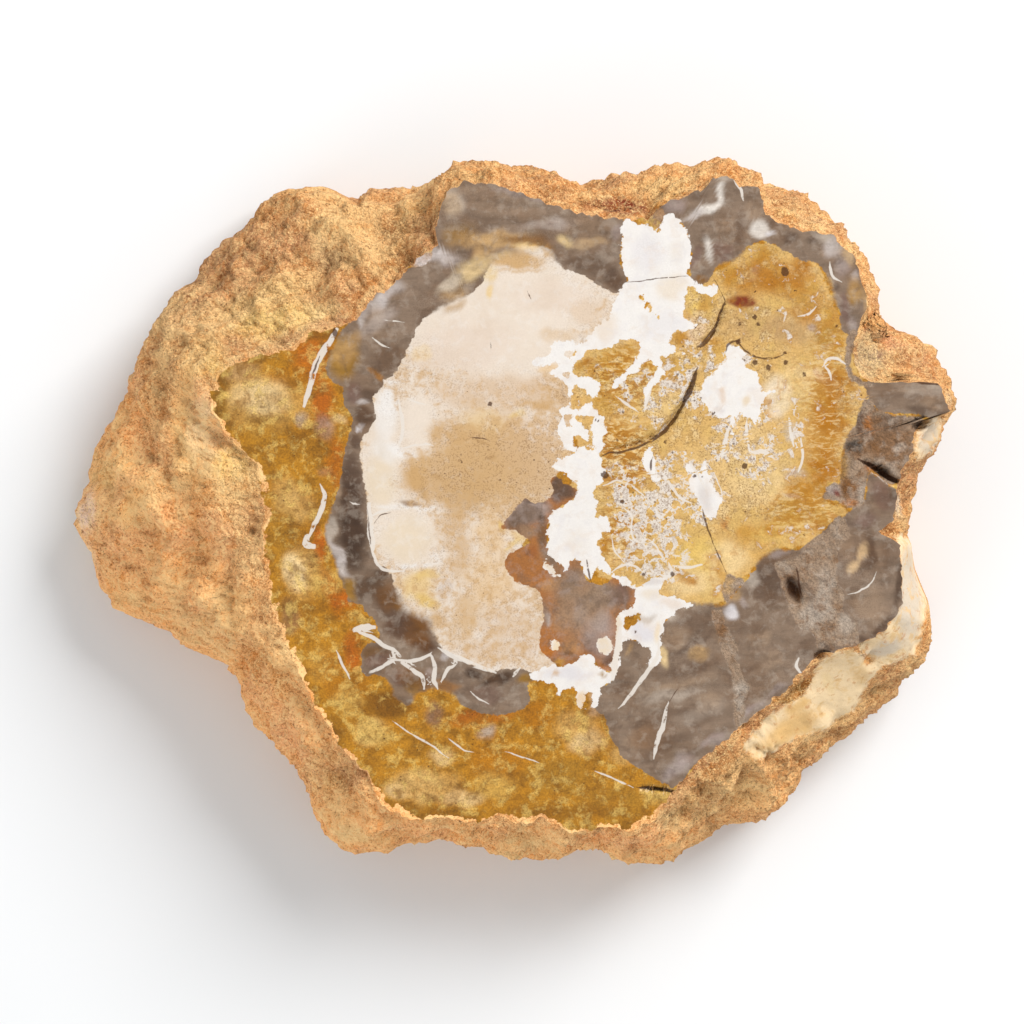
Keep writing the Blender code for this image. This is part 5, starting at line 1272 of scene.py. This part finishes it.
class Value:
    """A number that varies over the surface. Arithmetic on it adds Math nodes."""

    def __init__(self, graph: "Graph", socket: Socket) -> None:
        """Wraps a socket of a graph."""
        self.graph = graph
        self.socket = socket

    def work_out(self, operation: str, first: "Value | float", second: "Value | float") -> "Value":
        """Adds one Math node.

        Args:
            operation: What the node does.
            first: Its first number.
            second: Its second number.

        Returns:
            The node's result.
        """
        made = self.graph.node("ShaderNodeMath", {"operation": operation}, {0: first, 1: second})
        return Value(self.graph, made.outputs[0])

    def __add__(self, other: "Value | float") -> "Value":
        """The sum."""
        return self.work_out("ADD", self, other)

    def __radd__(self, other: float) -> "Value":
        """The sum, with the number first."""
        return self.work_out("ADD", other, self)

    def __sub__(self, other: "Value | float") -> "Value":
        """The difference."""
        return self.work_out("SUBTRACT", self, other)

    def __rsub__(self, other: float) -> "Value":
        """The difference, with the number first."""
        return self.work_out("SUBTRACT", other, self)

    def __mul__(self, other: "Value | float") -> "Value":
        """The product."""
        return self.work_out("MULTIPLY", self, other)

    def __rmul__(self, other: float) -> "Value":
        """The product, with the number first."""
        return self.work_out("MULTIPLY", other, self)

    def __rtruediv__(self, other: float) -> "Value":
        """A number divided by this one."""
        return self.work_out("DIVIDE", other, self)

    def __abs__(self) -> "Value":
        """The size without its sign."""
        return self.work_out("ABSOLUTE", self, 0.0)

    def least(self, other: float) -> "Value":
        """The lesser of two numbers."""
        return self.work_out("MINIMUM", self, other)

    def most(self, other: float) -> "Value":
        """The greater of two numbers."""
        return self.work_out("MAXIMUM", self, other)

    def ramp(self, start: "Value | float", end: "Value | float") -> "Value":
        """Rises smoothly from 0 to 1.

        Args:
            start: Where the result is 0.
            end: Where the result is 1, which may lie below the start.

        Returns:
            The share.
        """
        settings, sockets = {"interpolation_type": "SMOOTHSTEP"}, {0: self, 1: start, 2: end}
        return Value(self.graph, self.graph.node("ShaderNodeMapRange", settings, sockets).outputs[0])


@dataclass
class Graph:
    """The nodes of a finish, the place in millimetres where its noises are read, and the shared noises."""

    tree: bpy.types.NodeTree
    place: Socket | None = None
    noises: dict[str, Value] = field(default_factory=dict)
    roughness: float = 0.6

    def __getitem__(self, name: str) -> Value:
        """The shared noise of that name."""
        return self.noises[name]

    def node(
        self, kind: str, settings: dict[str, object], sockets: dict[str | int, object]
    ) -> bpy.types.Node:
        """Adds a node.

        Args:
            kind: The node's type.
            settings: Its settings, which are set first.
            sockets: A number, a colour or a link for each socket that is used.

        Returns:
            The node.
        """
        made = self.tree.nodes.new(kind)
        for name, value in settings.items():
            setattr(made, name, value)
        for key, value in sockets.items():
            source = value.socket if isinstance(value, Value) else value
            if isinstance(source, Socket):
                self.tree.links.new(source, made.inputs[key])
            else:
                made.inputs[key].default_value = source
        return made

    def read(self, name: str) -> Value:
        """Reads a named value of the mesh."""
        return Value(self, self.node("ShaderNodeAttribute", {"attribute_name": name}, {}).outputs["Fac"])

    def read_tint(self, name: str) -> Socket:
        """Reads a named colour of the mesh."""
        return self.node("ShaderNodeAttribute", {"attribute_name": name}, {}).outputs["Color"]

    def clouds(
        self, size: float, detail: float = 3.0, twist: float = 0.0, place: Socket | None = None
    ) -> Value:
        """Adds a noise.

        Args:
            size: The size of its clouds.
            detail: How many finer layers it has.
            twist: How far it is distorted.
            place: Where it is read, if not at the graph's own place.

        Returns:
            Its value, about 0.5.
        """
        sockets = {"Scale": 1 / size, "Detail": detail, "Roughness": self.roughness, "Distortion": twist}
        sockets["Vector"] = self.place if place is None else place
        return Value(self, self.node("ShaderNodeTexNoise", {}, sockets).outputs["Fac"])

    def stretched(self, turn: float, share: float) -> Socket:
        """Turns the place about the vertical and shrinks its x, which draws out what is read there."""
        sockets = {0: self.place, "Rotation": (0.0, 0.0, turn), "Scale": (share, 1.0, 1.0)}
        return self.node("ShaderNodeMapping", {}, sockets).outputs[0]

    def borders(self, scale: float, place: Socket | None = None) -> Value:
        """Adds cells and measures the distance to their nearest border."""
        sockets = {"Vector": self.place if place is None else place, "Scale": scale}
        made = self.node("ShaderNodeTexVoronoi", {"feature": "DISTANCE_TO_EDGE"}, sockets)
        return Value(self, made.outputs["Distance"])

    def blend(self, under: Socket, over: Tone | Socket, share: Value) -> Socket:
        """Lays one colour over another.

        Args:
            under: The colour below.
            over: The colour on top.
            share: How much the top one covers.

        Returns:
            The mixed colour.
        """
        over = (*over.light(), 1.0) if isinstance(over, Tone) else over
        return self.node("ShaderNodeMix", {"data_type": "RGBA"}, {0: share, 6: under, 7: over}).outputs[2]

    def layers(self, under: Socket, *coats: tuple[Tone, Value]) -> Socket:
        """Lays several tones over a colour, each with its share, in their order."""
        for tone, share in coats:
            under = self.blend(under, tone, share)
        return under

    def scaled(self, vector: Socket, amount: Value | float) -> Socket:
        """Multiplies a colour or a place by a factor."""
        sockets = {0: vector, "Scale": amount}
        return self.node("ShaderNodeVectorMath", {"operation": "SCALE"}, sockets).outputs[0]


@dataclass(frozen=True)
class Grain:
    """How one kind of stone looks close up.

    It says how ragged and how soft the edge is, how strong the clouds, the mottling, the fine grain and the
    bands are, and which three tones lie over the tint in patches, each with its strength.
    """

    ragged: float
    soft: float
    cloud: float
    mottle: float
    fine: float
    blot: float = 0.0
    blot_tone: Tone = Tone.BROWN
    lift: float = 0.0
    lift_tone: Tone = Tone.PALE_YELLOW
    stain: float = 0.0
    stain_tone: Tone = Tone.HONEY
    bands: float = 0.0


GRAINS = {
    "jasper": Grain(0.0, 0.1, 0.26, 0.44, 0.52, 0.6, Tone.DARK_OLIVE, 0.6, Tone.STRAW, 0.35, Tone.HONEY, 0.2),
    "gold": Grain(1.4, 0.3, 0.12, 0.26, 0.3, 0.6, Tone.HONEY, 0.8, Tone.PALE_YELLOW, 0.3, Tone.STRAW),
    "cream": Grain(0.9, 0.25, 0.05, 0.05, 0.06, 0.0, Tone.SAND, 0.25, Tone.MILK, 0.1, Tone.SAND),
    "grey": Grain(
        0.9, 0.15, 0.2, 0.14, 0.12, 0.35, Tone.DARK_GREY, 0.3, Tone.PALE_GREY, 0.2, Tone.BROWN, 0.4
    ),
    "heartwood": Grain(0.9, 0.12, 0.16, 0.24, 0.3, 0.5, Tone.DUSK, 0.3, Tone.LILAC, 0.1, Tone.TERRACOTTA),
    "white": Grain(1.5, 0.12, 0.04, 0.05, 0.05, 0.3, Tone.PINK_CREAM, 0.3, Tone.BLUE_WHITE),
    "druse": Grain(1.0, 0.25, 0.2, 0.34, 0.6, 0.55, Tone.BROWN, 0.4, Tone.PALE_GREY),
}


# The noises that the kinds of stone share: the size of their clouds, their finer layers and their distortion
NOISES = {
    "ragged": (1.5, 4.0), "cloud": (6.5, 3.0, 0.5), "mottle": (1.6, 3.0, 0.3), "fine": (0.4, 2.0),
    "blot": (2.7, 3.0, 0.4), "lift": (2.2, 4.0, 0.3),
}


@dataclass(frozen=True)
class StoneFinish:
    """Polished, gritty, sandy and sawn stone in one finish, told apart by the mesh's named values."""

    patchy: Point = (0.48, 0.68)
    exposure: float = 0.75
    brightest: float = 0.93
    polish: float = 0.2
    grit_dull: float = 0.12
    grain_dull: float = 0.1
    druse_dull: float = 0.45
    sawn_dull: float = 0.5
    rough: float = 0.86
    shine: float = 0.35
    rind_gain: float = 1.4
    # the next gain brightens the rind on the side away from the key light: painted light
    painted_fill_gain: float = 0.76
    kerf_pitch: float = 5.2
    kerf_depth: float = 0.03
    relief_strength: float = 0.9
    relief_depth: float = 1.1

    def build(self) -> bpy.types.Material:
        """Makes the material.

        Returns:
            The finish of the whole stone.
        """
        material = bpy.data.materials.new("petrified_wood_finish")
        material.use_nodes = True
        tree = material.node_tree
        shader = tree.nodes["Principled BSDF"]
        graph = Graph(tree)
        graph.place = graph.scaled(graph.node("ShaderNodeTexCoord", {}, {}).outputs["Object"], 1 / MM)
        graph.noises = {name: graph.clouds(*numbers) for name, numbers in NOISES.items()}
        graph.noises["ragged"] = graph["ragged"] - 0.5
        graph.noises["band"] = graph.clouds(1.9, 3.0, 0.5, graph.stretched(-0.4, 0.22))
        face = self.face_colour(graph)
        creep = graph.read("crusty") * (4 * graph["mottle"] + 5 * graph["cloud"] - 3.6)
        rind_share = (graph.read("outward") + 1.1 * graph["ragged"] + creep).ramp(-0.12, 0.14)
        sawn = graph.read("sawn") * (1 - rind_share)
        dusty = graph.blend(face, Tone.DULL_SAND, 0.3 * sawn + 0.12 * sawn * graph["cloud"])
        level = graph.scaled(graph.blend(dusty, self.rind_colour(graph), rind_share), self.exposure)
        red = Value(graph, graph.node("ShaderNodeSeparateColor", {}, {0: level}).outputs[0])
        held = graph.scaled(level, self.brightest / red.most(self.brightest))
        tree.links.new(held, shader.inputs["Base Color"])
        gritty = graph.read("druse_edge").ramp(0.2, -0.2)
        gloss = self.polish + self.grit_dull * graph.read("grit") + self.grain_dull * graph["fine"]
        gloss = gloss + self.druse_dull * gritty + self.sawn_dull * sawn
        roughness = (gloss * (1 - rind_share) + self.rough * rind_share).least(1.0)
        tree.links.new(roughness.socket, shader.inputs["Roughness"])
        shader.inputs["Specular IOR Level"].default_value = self.shine
        self.add_relief(graph, gritty, shader)
        return material

    def edge_of(self, graph: Graph, name: str) -> Value:
        """Turns a zone's distance into a ragged mask.

        Args:
            graph: The finish's nodes.
            name: The zone.

        Returns:
            How much the zone covers.
        """
        grain = GRAINS[name]
        edge = graph.read(name + "_edge") + 2.0 * grain.ragged * graph["ragged"]
        soft = graph.read("softness") if name == "grey" else grain.soft
        return edge.ramp(soft, -1.0 * soft)

    def grained(self, graph: Graph, name: str) -> Socket:
        """Gives a zone's tint its stains, blots, pale patches and grain.

        Args:
            graph: The finish's nodes.
            name: The zone.

        Returns:
            The zone's colour.
        """
        grain = GRAINS[name]
        colour = graph.read_tint(name + "_tint")
        patches, blots = graph["lift"].ramp(*self.patchy), graph["blot"].ramp(*self.patchy)
        gritty = graph.read("grit")
        for share, tone, mask in (
            (grain.stain, grain.stain_tone, graph["cloud"].ramp(0.46, 0.64)),
            (grain.blot, grain.blot_tone, blots * (1.15 - gritty) if name == "gold" else blots),
            (grain.lift, grain.lift_tone, patches * gritty if name == "gold" else patches),
        ):
            if share:
                colour = graph.blend(colour, tone, share * mask)
        amount = 1.0 - 2 * grain.cloud * (graph["cloud"] - 0.5) + 2 * grain.mottle * (graph["mottle"] - 0.5)
        if grain.bands:
            amount = amount + 2 * grain.bands * (graph["band"] - 0.5)
        return graph.scaled(colour, amount + 2 * grain.fine * (graph["fine"] - 0.5))

    def web_of(self, graph: Graph) -> Value:
        """Draws the broken white network that runs through the gold.

        Args:
            graph: The finish's nodes.

        Returns:
            How much the network covers.
        """
        wander = graph.node("ShaderNodeTexNoise", {}, {"Vector": graph.place, "Scale": 0.6, "Detail": 3.0})
        sockets = {0: wander.outputs["Color"], 1: (4.0, 4.0, 4.0), 2: graph.place}
        bent = graph.node("ShaderNodeVectorMath", {"operation": "MULTIPLY_ADD"}, sockets).outputs[0]
        thick = 0.42 * graph["lift"].ramp(0.3, 0.75)
        net = (graph.borders(0.42, bent) - thick).ramp(0.04, -0.04)
        spread = graph.read("network") + 3.4 * (graph["blot"] - 0.5)
        return net * spread.ramp(0.35, 0.75)

    def face_colour(self, graph: Graph) -> Socket:
        """Lays the zones, the comb, the white network, the specks, the veins and the cracks over each other.

        Args:
            graph: The finish's nodes.

        Returns:
            The colour of the cut faces.
        """
        grit, comb = graph.read("grit"), graph.read("comb")
        gold = self.edge_of(graph, "gold")
        teeth = graph.clouds(0.9, 3.0, 0.8, graph.stretched(0.12, 0.42))
        golden = graph.layers(
            self.grained(graph, "gold"),
            (Tone.HONEY, 0.8 * comb * teeth.ramp(0.49, 0.57)),
            (Tone.PALE_YELLOW, 0.85 * comb * teeth.ramp(0.47, 0.4)),
        )
        colour = graph.blend(self.grained(graph, "jasper"), golden, gold)
        colour = graph.blend(colour, Tone.WHITE, 0.9 * self.web_of(graph) * gold)
        cream = self.grained(graph, "cream")
        cream = graph.blend(cream, Tone.OCHRE_SAND, 0.75 * (grit * 0.9 + graph["mottle"]).ramp(0.78, 1.15))
        colour = graph.blend(colour, cream, self.edge_of(graph, "cream"))
        rings = (graph.borders(0.8) + 0.5 * graph["ragged"]).ramp(0.12, 0.02)
        rings = rings * grit * graph["lift"].ramp(0.4, 0.6)
        stipple = (grit * graph["lift"].ramp(0.3, 0.6)) * graph.clouds(0.32, 1.0).ramp(0.5, 0.64)
        dots = graph.node("ShaderNodeTexVoronoi", {}, {"Vector": graph.place, "Scale": 0.9})
        size = graph.node("ShaderNodeSeparateColor", {}, {0: dots.outputs["Color"]}).outputs[0]
        reach = 0.3 * Value(graph, size) * grit * graph["blot"].ramp(0.4, 0.62)
        specks = (Value(graph, dots.outputs["Distance"]) - reach).ramp(0.05, -0.05) * reach.ramp(0.02, 0.08)
        colour = graph.layers(
            colour, (Tone.BROWN, 0.35 * rings * gold), (Tone.BROWN, 0.6 * stipple), (Tone.UMBER, 0.7 * specks)
        )
        for name in ("grey", "heartwood", "white", "druse"):
            colour = graph.blend(colour, self.grained(graph, name), self.edge_of(graph, name))
        spots = (graph.read("dark_spot") + 1.4 * graph["ragged"]).ramp(0.12, -0.12)
        return graph.layers(
            colour,
            (Tone.WHITE, 0.88 * self.line_of(graph, "pale")),
            (Tone.UMBER, 0.85 * self.line_of(graph, "dark")),
            (Tone.UMBER, 0.85 * spots),
        )

    def line_of(self, graph: Graph, name: str) -> Value:
        """Draws a group of strokes.

        Args:
            graph: The finish's nodes.
            name: The group.

        Returns:
            How much the strokes cover.
        """
        half = graph.read(name + "_half")
        side = abs(graph.read(name + "_side")) + 0.35 * graph["ragged"]
        near = (graph.read(name + "_reach") - half).ramp(0.6, 0.3)
        line = (side - half * (0.5 + graph["blot"])).ramp(0.09, -0.09)
        return line * near * graph["lift"].ramp(0.3, 0.42)

    def rind_colour(self, graph: Graph) -> Socket:
        """Colours the sandy rind, streaked along the outline, and its smooth spalls, with painted shade in
        its hollows and painted light on the side away from the key light.

        Args:
            graph: The finish's nodes.

        Returns:
            The colour of the rind.
        """
        outward, drift = graph.read("outward"), graph.clouds(16.0, 2.0)
        sockets = {0: 1.1 * outward + 16 * drift, 1: 12 * drift, 2: 5 * graph["cloud"]}
        streak = graph.clouds(1.2, 4.0, place=graph.node("ShaderNodeCombineXYZ", {}, sockets).outputs[0])
        grit = graph.clouds(0.62, 4.0, 1.5)
        colour = graph.layers(
            graph.read_tint("rind_tint"),
            (Tone.RIND_PALE, 0.35 * graph["lift"].ramp(0.48, 0.66)),
            (Tone.RIND_PINK, 0.6 * drift.ramp(0.5, 0.62)),
            (Tone.RIND_PALE, 0.5 * drift.ramp(0.48, 0.36)),
            (Tone.RIND_BROWN, 0.45 * streak.ramp(0.5, 0.62)),
            (Tone.RIND_PALE, 0.4 * streak.ramp(0.48, 0.36)),
            (Tone.CRUST, 0.4 * graph["blot"].ramp(0.5, 0.68)),
            # painted shade: the rind is darkened where its relief sinks into hollows
            (Tone.RIND_DARK, 0.3 * graph.read("relief").ramp(-0.5, -1.8)),
            (Tone.RIND_DARK, 0.7 * grit.ramp(0.46, 0.34)),
            (Tone.RIND_PALE, 0.75 * grit.ramp(0.52, 0.66)),
        )
        # painted light: the rind on the side away from the key light is brightened
        gain = self.rind_gain + self.painted_fill_gain * graph.read("painted_fill_light")
        grain = 1.0 + 0.9 * (graph["fine"] - 0.5) + 0.3 * (graph["mottle"] - 0.5)
        colour = graph.scaled(colour, gain * grain)
        smooth = graph.layers(
            graph.read_tint("spall_tint"),
            (Tone.RIND_LIGHT, 0.6 * graph["blot"].ramp(0.5, 0.66)),
            (Tone.CRUST, 0.5 * graph["mottle"].ramp(0.56, 0.7)),
        )
        smooth = graph.scaled(smooth, 1.1 + 0.2 * (graph["cloud"] - 0.5) + 0.3 * (grit - 0.5))
        ragged = 3.4 * graph["ragged"] + 3.0 * (graph["cloud"] - 0.5)
        cover = (graph.read("spall") + ragged).ramp(0.5, -0.5)
        return graph.blend(colour, smooth, cover)

    def add_relief(self, graph: Graph, gritty: Value, shader: bpy.types.Node) -> None:
        """Adds the fine grain and the faint saw lines of the base as a bump.

        Args:
            graph: The finish's nodes.
            gritty: How much the druse covers.
            shader: The shader whose normal is bent.
        """
        across = Value(graph, graph.node("ShaderNodeSeparateXYZ", {}, {0: graph.place}).outputs[1])
        kerf = across.work_out("SINE", across * self.kerf_pitch, 0.0)
        grain = 1.25 * graph.clouds(1.0, 4.0) - 0.625
        wall = graph.read("spall").ramp(-0.2, 0.4) * 0.85 + 0.15
        outside = graph.read("outward").ramp(0.0, 0.25)
        rough = outside * wall + 0.5 * (1 - outside) * gritty
        height = rough * grain + self.kerf_depth * graph.read("sawn") * (1 - outside) * kerf
        sockets = {"Strength": self.relief_strength, "Distance": self.relief_depth * MM, "Height": height}
        bump = graph.node("ShaderNodeBump", {}, sockets)
        graph.tree.links.new(bump.outputs[0], shader.inputs["Normal"])


@dataclass
class Studio:
    """A pale floor, soft light from the upper right, a weak light against it and a camera overhead."""

    height: float = 0.834
    lens: float = 140.6
    floor_width: float = 4.0
    sky: float = 0.6
    key: float = 34.0
    key_width: float = 0.9
    key_place: tuple[float, float, float] = (0.95, 1.0, 1.08)
    fill: float = 16.0
    fill_width: float = 1.4
    fill_place: tuple[float, float, float] = (-1.25, -1.25, 0.55)
    sky_colour: tuple[float, float, float] = (0.95, 0.98, 1.0)
    paper: float = 0.78
    sensor: float = 36.0
    near_clip: float = 0.01

    def build_floor(self) -> bpy.types.Object:
        """Lays the floor.

        Returns:
            The floor.
        """
        half = self.floor_width / 2
        mesh = bpy.data.meshes.new("floor")
        corners = [(-half, -half, 0.0), (half, -half, 0.0), (half, half, 0.0), (-half, half, 0.0)]
        mesh.from_pydata(corners, [], [(0, 1, 2, 3)])
        material = bpy.data.materials.new("floor_paper")
        material.use_nodes = True
        shader = material.node_tree.nodes["Principled BSDF"]
        shader.inputs["Base Color"].default_value = (self.paper, self.paper, self.paper, 1.0)
        shader.inputs["Roughness"].default_value = 1.0
        shader.inputs["Specular IOR Level"].default_value = 0.0
        mesh.materials.append(material)
        floor = bpy.data.objects.new("floor", mesh)
        bpy.context.scene.collection.objects.link(floor)
        return floor

    def build_light(self) -> None:
        """Hangs the key light, sets a weak low one against it and makes the sky."""
        for name, power, width, place in (
            ("key", self.key, self.key_width, self.key_place),
            ("fill", self.fill, self.fill_width, self.fill_place),
        ):
            lamp = bpy.data.lights.new(name, "AREA")
            lamp.size = width
            lamp.energy = power
            light = bpy.data.objects.new(name, lamp)
            light.location = place
            light.rotation_euler = (-Vector(place)).to_track_quat("-Z", "Y").to_euler()
            bpy.context.scene.collection.objects.link(light)
        world = bpy.data.worlds.new("sky")
        world.use_nodes = True
        background = world.node_tree.nodes["Background"]
        background.inputs[0].default_value = (*self.sky_colour, 1.0)
        background.inputs[1].default_value = self.sky
        bpy.context.scene.world = world

    def build_camera(self) -> None:
        """Hangs the camera over the middle of the slice."""
        data = bpy.data.cameras.new("camera")
        data.lens = self.lens
        data.sensor_width = self.sensor
        data.clip_start = self.near_clip
        camera = bpy.data.objects.new("camera", data)
        camera.location = (0.0, 0.0, self.height)
        bpy.context.scene.collection.objects.link(camera)
        bpy.context.scene.camera = camera
        bpy.context.scene.view_settings.view_transform = "Standard"


def main() -> None:
    """Builds the studio and the stone."""
    studio = Studio()
    studio.build_floor()
    studio.build_light()
    studio.build_camera()
    stone = PetrifiedSlice().build()
    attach(stone, "root")
    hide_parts("petrified_wood_slice")
    LOG.info("%s: %d faces", stone.name, len(stone.data.polygons))


if __name__ == "__main__":
    logging.basicConfig(level=logging.INFO)
    main()
